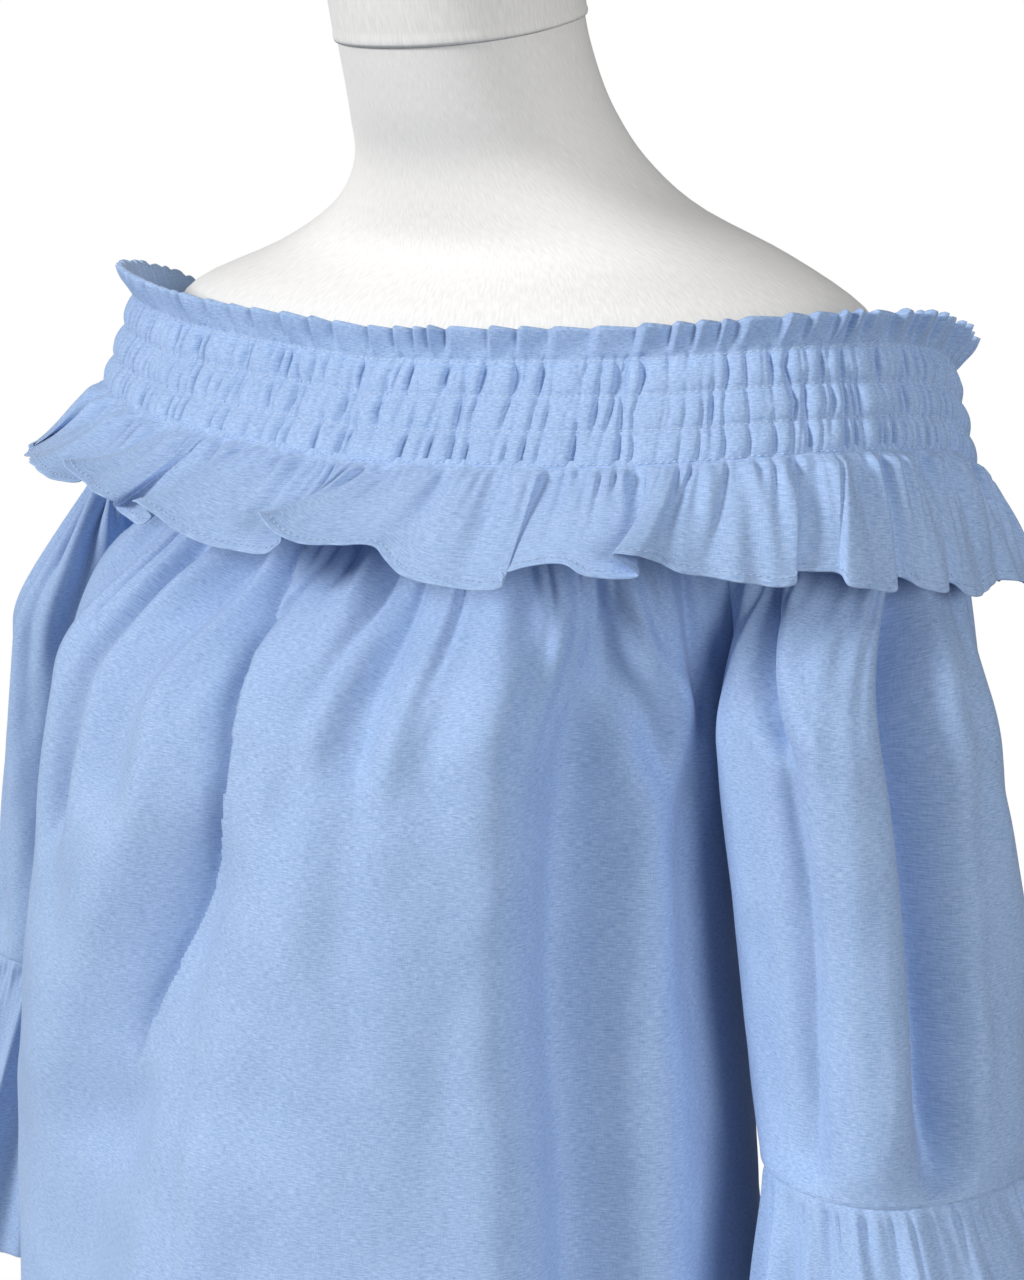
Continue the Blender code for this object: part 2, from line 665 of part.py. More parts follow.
def main():
    for old in list(bpy.data.objects):
        bpy.data.objects.remove(old, do_unlink=True)
    collection = bpy.data.collections.new("off_shoulder_top_on_dress_form")
    bpy.context.scene.collection.children.link(collection)
    dress_form(collection)
    neck_band(collection)
    neck_flounce(collection)
    panel("front_panel", -1, FRONT_FOLDS, collection)
    panel("back_panel", 1, BACK_FOLDS, collection)
    sleeve("sleeve_left", 1, LEFT_SLEEVE_FOLDS, collection)
    sleeve("sleeve_right", -1, RIGHT_SLEEVE_FOLDS, collection)
    sleeve_flounce("sleeve_flounce_left", 1, collection)
    sleeve_flounce("sleeve_flounce_right", -1, collection)


main()
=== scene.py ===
"""The looks of an off-shoulder top in blue chambray on a covered dress form.

Metres, +Z up. The front faces -Y and the wearer's left is +X. A drop is a
distance down from the neckline's reference height. An angle of 0 is +X and
-90 degrees is the front.
"""

from typing import NamedTuple

import bpy
import numpy as np
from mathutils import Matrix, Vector


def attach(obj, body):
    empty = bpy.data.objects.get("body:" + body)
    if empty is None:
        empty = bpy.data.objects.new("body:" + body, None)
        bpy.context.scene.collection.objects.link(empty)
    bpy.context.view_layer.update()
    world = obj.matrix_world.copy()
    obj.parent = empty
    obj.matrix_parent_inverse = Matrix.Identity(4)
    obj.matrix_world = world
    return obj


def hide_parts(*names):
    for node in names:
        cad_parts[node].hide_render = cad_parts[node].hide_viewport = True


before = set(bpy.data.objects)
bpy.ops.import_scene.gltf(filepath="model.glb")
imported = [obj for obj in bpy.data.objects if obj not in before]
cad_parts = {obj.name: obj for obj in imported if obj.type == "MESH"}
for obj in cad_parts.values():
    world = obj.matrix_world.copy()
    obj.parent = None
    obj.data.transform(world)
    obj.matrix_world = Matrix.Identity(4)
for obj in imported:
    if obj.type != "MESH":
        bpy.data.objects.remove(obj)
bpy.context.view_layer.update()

# Sizes of the top, as in the frame
NECKLINE = 0.620
HEADING = 0.014
CASING = 0.0138
CASINGS = 3
BAND_DROP = HEADING + CASINGS * CASING
NECK_FLOUNCE = 0.050
FRONT_FLOUNCE_SHORTER = 0.008
UNDERARM = 0.175
SLEEVE_SEAM = 0.356
CUFF = 0.520
HEM = 0.520
BAND_WALL = 0.0020
CLOTH = 0.0012
SEAM = 0.0003
RAGLAN = np.radians(45.0)
PANEL_REACH = 0.25
SLEEVE_REACH = 0.20
PULL_FADE = 0.100
PANEL_FOLD_WIDTH = 0.42
SLEEVE_FOLD_WIDTH = 0.40
UNDER_FLOUNCE = 0.085

# The dress form's neck and the cap over it
NECK_CAP_SEAM = 0.118
NECK_CAP_SLOPE = 0.18
NECK_MIDDLE = -0.044
NECK_TOP = 0.152
CAP_OVERLAP = 0.0012
CAP_ROUNDING = 0.006

# Camera: where it looks from, how far away and its lens
CAMERA_AZIMUTH = np.radians(36.0)
CAMERA_ELEVATION = np.radians(12.0)
CAMERA_DISTANCE = 1.352
CAMERA_TARGET = Vector((-0.005, 0.0, 0.457))
CAMERA_LENS = 81.3

# Light
WORLD_LIGHT = 0.18
FLOOR_RADIUS = 0.40
FLOOR_TONE = 0.9


class Light(NamedTuple):
    """A distant light: its place in degrees, strength and softness in degrees."""

    name: str
    azimuth: float
    elevation: float
    strength: float
    softness: float


LIGHTS = (
    Light("key", -38.0, 20.0, 2.7, 18.0),
    Light("side", 62.0, 10.0, 1.45, 26.0),
    Light("top", 15.0, 60.0, 0.35, 60.0),
)

# Stitches: their length, then their pitch and radius on hems and casings
STITCH_LENGTH = 0.0021
HEM_STITCH_ROW = -6
HEM_STITCH_PITCH = 0.0030
HEM_STITCH_RADIUS = 0.00024
CASING_STITCH_PITCH = 0.0029
CASING_STITCH_RADIUS = 0.00032

# The neckband's creases, its length round and its rows of points
BAND_CREASES = 196
BAND_LENGTH = 1.05
BAND_COLUMNS = 1760
HEADING_ROWS = 10
CASING_ROWS = 10
BAND_CUT = 1.9


class Section(NamedTuple):
    """A level oval: its drop, its half sizes and where its middle lies."""

    drop: float
    half_width: float
    front: float
    back: float
    across: float = 0.0
    along: float = 0.0


class Rise(NamedTuple):
    """How far the neckline stands over its reference height at an angle."""

    angle: float
    height: float


class Fold(NamedTuple):
    """A long trough (depth below 0) or ridge along a path of (share, drop).

    A fold that laps has its far side raised over the trough, with a sharp edge.
    """

    path: tuple
    width: float
    depth: float
    sharp: float = 0.0
    laps: bool = False


class Gather(NamedTuple):
    """A set of short folds: its seed, their number, longest length and depth."""

    seed: int
    count: int
    longest: float
    depth: float


class Hem(NamedTuple):
    """A point of the neck flounce's hem, in the order of the cloth.

    Its angle in degrees, how far it stands out beyond the flounce's middle
    surface and how far it is lifted. Where the angle goes back, the cloth
    folds under itself.
    """

    angle: float
    out: float
    rise: float


class Tuck(NamedTuple):
    """A fold of the flounce's hem: the cloth laps over by over, out by depth."""

    angle: float
    over: float
    depth: float
    rise: float


NECKLINE_RISES = (
    Rise(-90, -0.008),
    Rise(-60, -0.002),
    Rise(-30, 0.0055),
    Rise(0, 0.0),
    Rise(20, -0.013),
    Rise(45, -0.020),
    Rise(90, -0.027),
)

BAND_SECTIONS = (
    Section(0.0, 0.2155, 0.103, 0.098),
    Section(HEADING, 0.21, 0.1015, 0.094),
    Section(HEADING + CASING, 0.213, 0.107, 0.094),
    Section(HEADING + 2 * CASING, 0.217, 0.115, 0.095),
    Section(BAND_DROP, 0.22, 0.123, 0.096),
)

FLOUNCE_SECTIONS = (
    Section(0.0, 0.22, 0.123, 0.096),
    Section(0.5, 0.23, 0.141, 0.105, across=-0.002),
    Section(1.0, 0.238, 0.155, 0.114, across=-0.006),
)

BODY_SECTIONS = (
    Section(BAND_DROP, 0.2, 0.124, 0.11, across=-0.01, along=-0.01),
    Section(0.115, 0.182, 0.134, 0.124, across=-0.026, along=-0.026),
    Section(UNDERARM, 0.166, 0.14, 0.13, across=-0.032, along=-0.036),
    Section(0.25, 0.166, 0.147, 0.13, across=-0.036, along=-0.04),
    Section(0.34, 0.178, 0.153, 0.134, across=-0.036, along=-0.04),
    Section(0.42, 0.184, 0.156, 0.138, across=-0.036, along=-0.04),
    Section(HEM, 0.192, 0.162, 0.15, across=-0.03, along=-0.038),
)

LEFT_SLEEVE_SECTIONS = (
    Section(BAND_DROP, 0.05, 0.084, 0.084, across=0.19, along=-0.03),
    Section(0.115, 0.05, 0.078, 0.078, across=0.193, along=-0.028),
    Section(UNDERARM, 0.052, 0.073, 0.073, across=0.198, along=-0.026),
    Section(0.28, 0.054, 0.074, 0.074, across=0.209, along=-0.016),
    Section(SLEEVE_SEAM, 0.056, 0.076, 0.076, across=0.219, along=-0.014),
)
RIGHT_SLEEVE_SECTIONS = (
    Section(BAND_DROP, 0.046, 0.084, 0.084, across=0.205, along=-0.03),
    Section(0.115, 0.047, 0.078, 0.078, across=0.224, along=-0.02),
    Section(UNDERARM, 0.047, 0.074, 0.074, across=0.243, along=-0.01),
    Section(0.28, 0.048, 0.074, 0.074, across=0.267, along=0.004),
    Section(SLEEVE_SEAM, 0.05, 0.076, 0.076, across=0.277, along=0.012),
)
LEFT_CUFF_SECTIONS = (
    Section(SLEEVE_SEAM, 0.056, 0.076, 0.076, across=0.219, along=-0.014),
    Section(0.4, 0.064, 0.086, 0.086, across=0.228, along=-0.008),
    Section(CUFF, 0.078, 0.1, 0.1, across=0.258, along=0.004),
)
RIGHT_CUFF_SECTIONS = (
    Section(SLEEVE_SEAM, 0.05, 0.076, 0.076, across=0.277, along=0.012),
    Section(0.4, 0.057, 0.084, 0.084, across=0.288, along=0.018),
    Section(CUFF, 0.07, 0.098, 0.098, across=0.312, along=0.026),
)

FORM_SECTIONS = (
    Section(-NECK_TOP, 0.053, 0.054, 0.055, along=-0.053),
    Section(-0.11, 0.053, 0.054, 0.055, along=-0.042),
    Section(-0.08, 0.058, 0.056, 0.056, along=-0.028),
    Section(-0.06, 0.067, 0.058, 0.056, along=-0.015),
    Section(-0.04, 0.088, 0.064, 0.06, along=-0.004),
    Section(-0.02, 0.13, 0.072, 0.066, along=0.006),
    Section(0.0, 0.174, 0.08, 0.08, along=-0.006),
    Section(0.022, 0.185, 0.091, 0.0955, along=-0.0095),
    Section(0.041, 0.185, 0.0985, 0.103, along=-0.0095),
    Section(0.06, 0.18, 0.102, 0.102, along=-0.01),
    Section(0.09, 0.158, 0.104, 0.093, along=-0.012),
    Section(0.13, 0.126, 0.106, 0.082, along=-0.018),
    Section(0.18, 0.106, 0.11, 0.074, along=-0.024),
    Section(0.25, 0.098, 0.098, 0.07, along=-0.02),
    Section(0.33, 0.092, 0.084, 0.066, along=-0.012),
    Section(0.42, 0.102, 0.094, 0.07, along=-0.006),
    Section(0.5, 0.106, 0.098, 0.072),
    Section(0.6, 0.104, 0.096, 0.072),
    Section(NECKLINE, 0.098, 0.09, 0.066),
)

# The large folds, as in the frame, then the finer creases of the same piece
FRONT_FOLDS = (
    Fold(((0.44, 0.09), (0.51, 0.155), (0.505, 0.24), (0.46, 0.29)), 0.036, -0.012, 0.3),
    Fold(((0.49, 0.23), (0.42, 0.325), (0.35, 0.4), (0.3, 0.56)), 0.075, -0.013, 0.1),
    Fold(((0.78, 0.1), (0.825, 0.2), (0.82, 0.3), (0.83, 0.56)), 0.062, -0.013, 0.4),
    Fold(((0.8, 0.09), (0.83, 0.135), (0.89, 0.185), (0.92, 0.23)), 0.036, -0.006, 0.2),
    Fold(((0.6, 0.1), (0.62, 0.15), (0.64, 0.21)), 0.036, -0.0045, 0.1),
    Fold(((0.24, 0.1), (0.2, 0.17), (0.16, 0.28)), 0.04, -0.0035, 0.0),
    Fold(((0.36, 0.11), (0.33, 0.19), (0.28, 0.3)), 0.04, -0.0045, 0.0),
    Fold(((0.72, 0.26), (0.68, 0.38), (0.66, 0.56)), 0.08, -0.005, 0.0),
    Fold(((0.92, 0.24), (0.93, 0.4), (0.94, 0.56)), 0.044, 0.006, 0.0),
    Fold(((0.12, 0.3), (0.13, 0.42), (0.15, 0.56)), 0.06, 0.005, 0.0),
)
FRONT_CREASES = (
    Fold(
        ((0.44, 0.085), (0.51, 0.157), (0.517, 0.187), (0.512, 0.217), (0.468, 0.274), (0.405, 0.34)),
        0.024,
        -0.013,
        laps=True,
    ),
    Fold(((0.505, 0.21), (0.465, 0.28), (0.42, 0.33), (0.38, 0.39)), 0.04, -0.012, 0.3),
    Fold(((0.4, 0.34), (0.35, 0.42), (0.32, 0.56)), 0.06, -0.013, 0.2),
    Fold(((0.782, 0.11), (0.815, 0.17), (0.828, 0.24), (0.822, 0.32), (0.828, 0.56)), 0.026, -0.02, -0.2),
    Fold(((0.5, 0.24), (0.488, 0.3), (0.492, 0.48)), 0.016, -0.0022, 0.4),
    Fold(((0.795, 0.09), (0.828, 0.133), (0.875, 0.16), (0.905, 0.2)), 0.016, -0.011, 0.3),
    Fold(((0.595, 0.085), (0.618, 0.147), (0.63, 0.195)), 0.016, -0.009, 0.2),
    Fold(((0.545, 0.09), (0.556, 0.13), (0.575, 0.175)), 0.014, -0.0014, 0.0),
    Fold(((0.67, 0.095), (0.676, 0.15), (0.69, 0.215)), 0.022, -0.0045, 0.0),
    Fold(((0.74, 0.095), (0.752, 0.135), (0.77, 0.19)), 0.016, -0.005, -0.2),
    Fold(((0.4, 0.095), (0.392, 0.15), (0.37, 0.23)), 0.02, -0.005, 0.0),
    Fold(((0.32, 0.09), (0.3, 0.15), (0.27, 0.26)), 0.018, -0.011, -0.2),
    Fold(((0.285, 0.085), (0.262, 0.135), (0.24, 0.19)), 0.012, -0.0014, 0.0),
    Fold(((0.18, 0.085), (0.14, 0.15), (0.11, 0.23)), 0.022, -0.008, 0.0, True),
    Fold(((0.86, 0.22), (0.868, 0.3), (0.876, 0.42)), 0.02, -0.001, 0.0),
    Fold(((0.56, 0.3), (0.548, 0.4), (0.552, 0.5)), 0.03, -0.0012, 0.0),
    Fold(((0.745, 0.25), (0.715, 0.3), (0.7, 0.345)), 0.014, -0.001, 0.0),
    Fold(((0.22, 0.33), (0.23, 0.42), (0.236, 0.52)), 0.036, -0.0026, 0.0),
    Fold(((0.06, 0.22), (0.064, 0.34), (0.07, 0.52)), 0.03, -0.0026, 0.0),
    Fold(((0.62, 0.42), (0.612, 0.53)), 0.04, 0.0022, 0.0),
)
BACK_FOLDS = (
    Fold(((0.24, 0.1), (0.2, 0.24), (0.18, 0.56)), 0.058, -0.008, -0.3),
    Fold(((0.38, 0.1), (0.4, 0.26), (0.41, 0.56)), 0.06, 0.007, 0.0),
    Fold(((0.52, 0.09), (0.55, 0.22), (0.57, 0.56)), 0.052, -0.007, 0.4),
    Fold(((0.68, 0.11), (0.66, 0.24), (0.67, 0.42)), 0.046, 0.005, 0.0),
    Fold(((0.3, 0.09), (0.31, 0.2)), 0.032, -0.004, 0.0),
    Fold(((0.8, 0.34), (0.78, 0.56)), 0.07, -0.006, 0.0),
)
BACK_CREASES = (
    Fold(((0.23, 0.09), (0.205, 0.16), (0.19, 0.26)), 0.018, -0.003, 0.4),
    Fold(((0.525, 0.085), (0.54, 0.15), (0.552, 0.26)), 0.018, -0.003, -0.4),
    Fold(((0.6, 0.09), (0.612, 0.17)), 0.018, -0.0022, 0.0),
    Fold(((0.44, 0.09), (0.452, 0.19), (0.47, 0.3)), 0.022, -0.0024, 0.0),
    Fold(((0.345, 0.085), (0.352, 0.15)), 0.014, -0.0016, 0.0),
    Fold(((0.74, 0.09), (0.77, 0.19), (0.79, 0.3)), 0.024, -0.0028, 0.0),
    Fold(((0.86, 0.1), (0.88, 0.2), (0.892, 0.34)), 0.026, -0.003, 0.0),
    Fold(((0.12, 0.11), (0.1, 0.22), (0.096, 0.36)), 0.026, -0.003, 0.0),
    Fold(((0.3, 0.32), (0.296, 0.52)), 0.036, -0.0026, 0.0),
    Fold(((0.66, 0.36), (0.668, 0.54)), 0.034, -0.0022, 0.0),
)
LEFT_SLEEVE_FOLDS = (
    Fold(((0.39, 0.09), (0.415, 0.15), (0.405, 0.27), (0.385, 0.39)), 0.03, -0.011, 0.2),
    Fold(((0.1, 0.1), (0.2, 0.145), (0.25, 0.22), (0.215, 0.39)), 0.04, -0.007, 0.5),
    Fold(((0.46, 0.12), (0.5, 0.19), (0.54, 0.3)), 0.03, 0.005, 0.0),
    Fold(((0.66, 0.1), (0.64, 0.22), (0.65, 0.39)), 0.036, -0.008, 0.3),
    Fold(((0.8, 0.12), (0.79, 0.26)), 0.032, -0.005, 0.0),
)
LEFT_SLEEVE_CREASES = (
    Fold(((0.395, 0.08), (0.416, 0.15), (0.407, 0.27), (0.386, 0.36)), 0.015, -0.015, 0.2),
    Fold(((0.11, 0.095), (0.19, 0.14), (0.262, 0.175)), 0.022, -0.009, 0.4),
    Fold(((0.266, 0.16), (0.258, 0.22), (0.226, 0.345)), 0.014, -0.0045, 0.5),
    Fold(((0.3, 0.085), (0.318, 0.13), (0.322, 0.18)), 0.016, -0.002, 0.0),
    Fold(((0.345, 0.085), (0.352, 0.12)), 0.012, -0.0016, 0.0),
    Fold(((0.458, 0.14), (0.505, 0.18), (0.552, 0.225)), 0.012, -0.0014, 0.0),
    Fold(((0.48, 0.085), (0.486, 0.14), (0.47, 0.23)), 0.016, -0.0022, 0.0),
    Fold(((0.56, 0.09), (0.58, 0.17), (0.584, 0.28)), 0.018, -0.0024, 0.0),
    Fold(((0.72, 0.09), (0.716, 0.18)), 0.018, -0.0024, 0.0),
    Fold(((0.16, 0.24), (0.15, 0.34)), 0.022, -0.0018, 0.0),
)
RIGHT_SLEEVE_FOLDS = (
    Fold(((0.3, 0.09), (0.34, 0.2), (0.33, 0.39)), 0.034, -0.008, 0.3),
    Fold(((0.45, 0.1), (0.48, 0.18), (0.5, 0.29)), 0.03, 0.004, 0.0),
    Fold(((0.64, 0.1), (0.62, 0.24), (0.63, 0.39)), 0.036, -0.008, -0.3),
    Fold(((0.78, 0.12), (0.77, 0.28)), 0.032, -0.005, 0.0),
)
RIGHT_SLEEVE_CREASES = (
    Fold(((0.3, 0.08), (0.336, 0.18), (0.334, 0.32)), 0.014, -0.003, 0.3),
    Fold(((0.23, 0.085), (0.236, 0.16), (0.222, 0.25)), 0.018, -0.0024, 0.0),
    Fold(((0.15, 0.1), (0.17, 0.17), (0.172, 0.26)), 0.018, -0.0022, 0.0),
    Fold(((0.38, 0.085), (0.392, 0.15), (0.4, 0.24)), 0.016, -0.0022, 0.0),
    Fold(((0.56, 0.085), (0.56, 0.17), (0.55, 0.28)), 0.018, -0.0024, 0.0),
    Fold(((0.7, 0.09), (0.704, 0.18)), 0.018, -0.0024, 0.0),
    Fold(((0.85, 0.11), (0.842, 0.22)), 0.02, -0.0022, 0.0),
    Fold(((0.44, 0.25), (0.446, 0.35)), 0.022, -0.0018, 0.0),
)

# The neck flounce's hem round the front, then its tucks at the back
FRONT_HEM = (
    Hem(-129.5, 0.008, 0.0213),
    Hem(-123.9, 0.009, 0.0179),
    Hem(-120.4, 0.004, 0.0193),
    Hem(-120.5, 0.011, 0.0287),
    Hem(-116.2, 0.011, 0.0232),
    Hem(-111.0, 0.009, 0.0168),
    Hem(-112.8, 0.001, 0.0122),
    Hem(-110.9, 0.003, 0.0106),
    Hem(-107.0, 0.005, 0.0099),
    Hem(-106.4, 0.004, 0.0129),
    Hem(-106.4, 0.012, 0.0207),
    Hem(-103.0, 0.012, 0.0156),
    Hem(-97.9, 0.011, 0.0086),
    Hem(-93.5, 0.008, 0.0064),
    Hem(-91.2, 0.006, 0.0069),
    Hem(-89.8, 0.002, 0.0135),
    Hem(-90.1, 0.013, 0.0259),
    Hem(-88.2, 0.013, 0.0197),
    Hem(-85.8, 0.012, 0.0152),
    Hem(-81.5, 0.008, 0.0144),
    Hem(-78.4, 0.006, 0.0145),
    Hem(-76.1, 0.009, 0.0085),
    Hem(-74.5, 0.01, 0.0046),
    Hem(-70.4, 0.011, 0.0009),
    Hem(-66.3, 0.011, -0.0003),
    Hem(-64.6, 0.008, 0.0007),
    Hem(-65.1, 0.003, 0.0045),
    Hem(-63.4, 0.002, 0.0074),
    Hem(-61.2, 0.002, 0.0096),
    Hem(-58.8, 0.003, 0.01),
    Hem(-57.1, 0.007, 0.0065),
    Hem(-54.7, 0.007, 0.0048),
    Hem(-51.9, 0.004, 0.0049),
    Hem(-54.2, 0.013, 0.0163),
    Hem(-52.3, 0.013, 0.0154),
    Hem(-50.3, 0.011, 0.012),
    Hem(-47.9, 0.009, 0.0069),
    Hem(-44.8, 0.008, 0.0042),
    Hem(-41.4, 0.009, 0.0014),
    Hem(-37.2, 0.009, -0.0011),
    Hem(-35.6, 0.006, 0.0),
    Hem(-35.6, 0.003, 0.0026),
    Hem(-33.0, 0.002, 0.0032),
    Hem(-30.3, 0.003, 0.0022),
    Hem(-30.3, 0.008, -0.0009),
    Hem(-27.4, 0.009, -0.003),
    Hem(-22.6, 0.007, -0.0048),
    Hem(-21.2, 0.002, -0.0005),
    Hem(-19.0, 0.006, -0.0041),
    Hem(-14.6, 0.007, -0.006),
    Hem(-12.3, 0.002, -0.0032),
    Hem(-11.3, 0.006, -0.0067),
    Hem(-8.6, 0.008, -0.0082),
    Hem(-1.3, 0.005, -0.0019),
)
BACK_TUCKS = (
    Tuck(12.0, 5.0, 0.008, 0.004),
    Tuck(26.0, 6.5, 0.01, 0.007),
    Tuck(41.0, 3.0, 0.007, 0.003),
    Tuck(54.0, 7.0, 0.011, 0.008),
    Tuck(71.0, 4.5, 0.008, 0.003),
    Tuck(84.0, 6.0, 0.01, 0.006),
    Tuck(101.0, 2.5, 0.007, 0.004),
    Tuck(113.0, 7.0, 0.012, 0.009),
    Tuck(130.0, 5.0, 0.008, 0.004),
    Tuck(143.0, 3.5, 0.009, 0.005),
    Tuck(158.0, 6.5, 0.011, 0.006),
    Tuck(172.0, 4.0, 0.007, 0.003),
    Tuck(187.0, 6.0, 0.01, 0.006),
    Tuck(200.0, 3.0, 0.008, 0.003),
    Tuck(215.0, 2.0, 0.003, 0.002),
)

# Gathers below each seam, and how far a trough may sink near it and lower down
FLOUNCE_GATHERS = (
    Gather(3, 290, 0.044, 0.0054),
    Gather(4, 120, 0.08, 0.0066),
    Gather(6, 84, 0.14, 0.006),
)
PANEL_GATHERS = (Gather(0, 40, 0.12, 0.0056), Gather(1, 17, 0.30, 0.0064))
SLEEVE_GATHERS = (Gather(0, 30, 0.10, 0.0050), Gather(1, 12, 0.24, 0.0060))
CUFF_GATHERS = (Gather(1, 84, 0.060, 0.0022), Gather(2, 34, 0.150, 0.0030))
DEEPEST_TROUGH = 0.024
DEEPER_BELOW = 0.014

BAND_SQUARENESS = (2.3, 2.3)
BODY_SQUARENESS = (2.7, 1.8)
SLEEVE_SQUARENESS = (2.1, 2.1)
FORM_SQUARENESS = (2.2, 2.2)


def smooth_through(places, values, wanted):
    """Values at the wanted places, on a smooth curve through the given ones."""
    places = np.array(places, float)
    values = np.array(values, float)
    slopes = np.gradient(values, places)
    wanted = np.clip(wanted, places[0], places[-1])
    row = np.clip(np.searchsorted(places, wanted) - 1, 0, len(places) - 2)
    span = places[row + 1] - places[row]
    share = (wanted - places[row]) / span
    start = (1 + 2 * share) * (1 - share) ** 2 * values[row]
    start_slope = share * (1 - share) ** 2 * span * slopes[row]
    end = share**2 * (3 - 2 * share) * values[row + 1]
    end_slope = share**2 * (share - 1) * span * slopes[row + 1]
    return start + start_slope + end + end_slope


def ease(share):
    """0 to 1 with level ends."""
    share = np.clip(share, 0.0, 1.0)
    return share * share * (3 - 2 * share)


def oval(sections, angle, drop, squareness, grow=0.0):
    """Points (x, y) of the sections' ovals, each made larger by grow."""
    drops = [section.drop for section in sections]
    half_width, front, back, across, along = (
        smooth_through(drops, [getattr(section, name) for section in sections], drop)
        for name in ("half_width", "front", "back", "across", "along")
    )
    cosine, sine = np.cos(angle), np.sin(angle)
    depth = np.where(sine < 0, front, back) + grow
    power = np.where(sine < 0, *squareness)
    radius = (np.abs(cosine) ** power + np.abs(sine) ** power) ** (-1 / power)
    x = across + (half_width + grow) * cosine * radius
    y = along + depth * sine * radius
    return np.stack(np.broadcast_arrays(x, y), -1)


def neckline_rise(angle):
    """Height of the neckline over its reference, the same on both sides."""
    from_side = np.degrees(np.arctan2(np.sin(angle), np.abs(np.cos(angle))))
    angles = [rise.angle for rise in NECKLINE_RISES]
    return smooth_through(angles, [rise.height for rise in NECKLINE_RISES], from_side)


def points_at(xy, z):
    """Stacks x and y with a height of the same shape."""
    z = np.broadcast_to(z, xy.shape[:-1])
    return np.concatenate([xy, z[..., None]], -1)


def raglan_blend(drop):
    """0 at the band, where the cloth follows its ring, to 1 at the underarm."""
    return ease((drop - BAND_DROP) / (UNDERARM - BAND_DROP))


def underarm_point(wearer_side):
    """Where the body, the sleeve and both raglan seams meet, as (x, y)."""
    angle = 0.0 if wearer_side > 0 else np.pi
    on_body = oval(BODY_SECTIONS, angle, UNDERARM, BODY_SQUARENESS)
    sections = LEFT_SLEEVE_SECTIONS if wearer_side > 0 else RIGHT_SLEEVE_SECTIONS
    on_sleeve = oval(sections, np.pi, UNDERARM, SLEEVE_SQUARENESS)
    return (on_body + on_sleeve * (wearer_side, 1)) / 2


def pull_to_seam(xy, edge_xy, target, drop, reach):
    """Moves a piece's edge to its seam, less and less over the reach beside it."""
    below = np.exp(-np.clip(drop - UNDERARM, 0, None) / PULL_FADE)
    move = (target - edge_xy) * (raglan_blend(drop) * below)[..., None]
    return xy + move * reach[..., None]


def panel_middle(facing, share, drop):
    """The front (facing -1) or back (facing 1) panel, with no folds in it."""
    quarter_turn = np.pi - 2 * RAGLAN
    body_angle = facing * (np.pi / 2 + (0.5 - share) * np.pi)
    band_angle = facing * (np.pi / 2 + (0.5 - share) * quarter_turn)
    on_band = oval(BAND_SECTIONS, band_angle, BAND_DROP, BAND_SQUARENESS, CLOTH / 2)
    on_body = oval(BODY_SECTIONS, body_angle, drop, BODY_SQUARENESS)
    blend = raglan_blend(drop)[..., None]
    xy = (1 - blend) * on_band + blend * on_body
    for wearer_side, edge_share in ((1, 1.0), (-1, 0.0)):
        edge_angle = facing * (np.pi / 2 + (0.5 - edge_share) * np.pi)
        edge = oval(BODY_SECTIONS, edge_angle, drop, BODY_SQUARENESS)
        reach = ease(1 - np.abs(share - edge_share) / PANEL_REACH)
        target = underarm_point(wearer_side)
        xy = pull_to_seam(xy, edge, target, drop, reach)
    rise = neckline_rise(band_angle) * (1 - raglan_blend(drop))
    return points_at(xy, NECKLINE + rise - drop)


def sleeve_middle(wearer_side, share, drop):
    """A sleeve with no folds, share 0 and 1 at its front and back seams."""
    sections = LEFT_SLEEVE_SECTIONS if wearer_side > 0 else RIGHT_SLEEVE_SECTIONS
    band_angle = (2 * share - 1) * RAGLAN
    tube_angle = (2 * share - 1) * np.pi
    on_band = oval(BAND_SECTIONS, band_angle, BAND_DROP, BAND_SQUARENESS, CLOTH / 2)
    on_tube = oval(sections, tube_angle, drop, SLEEVE_SQUARENESS)
    blend = raglan_blend(drop)[..., None]
    xy = (1 - blend) * on_band + blend * on_tube
    edge = oval(sections, np.pi, drop, SLEEVE_SQUARENESS)
    target = underarm_point(wearer_side) * (wearer_side, 1)
    reach = ease(1 - np.minimum(share, 1 - share) / SLEEVE_REACH)
    xy = pull_to_seam(xy, edge, target, drop, reach)
    rise = neckline_rise(band_angle) * (1 - raglan_blend(drop))
    return points_at(xy * (wearer_side, 1), NECKLINE + rise - drop)


def fold_heights(folds, share, drop, width):
    """How far the folds lift the cloth, in metres."""
    height = np.zeros(np.broadcast(share, drop).shape)
    for fold in folds:
        shares, drops = zip(*fold.path)
        middle = smooth_through(drops, shares, drop)
        along = (drop - drops[0]) / (drops[-1] - drops[0])
        off = (share - middle) * width / fold.width
        steep = 1 + fold.sharp * np.tanh(6 * off)
        valley = np.exp(-((2 * off * steep) ** 2))
        shoulders = np.exp(-((2.2 * off - 2.3) ** 2)) + 0.8 * np.exp(-((1.9 * off + 2.2) ** 2))
        begins = ease(along / 0.25 + 0.2)
        ends = ease((1 - along) / 0.25 + 0.2)
        form = valley - 0.35 * shoulders
        if fold.laps:
            form = np.where(off < 0, valley, -0.55 * np.exp(-((1.3 * off) ** 2)))
        height = height + fold.depth * form * begins * ends
    return height


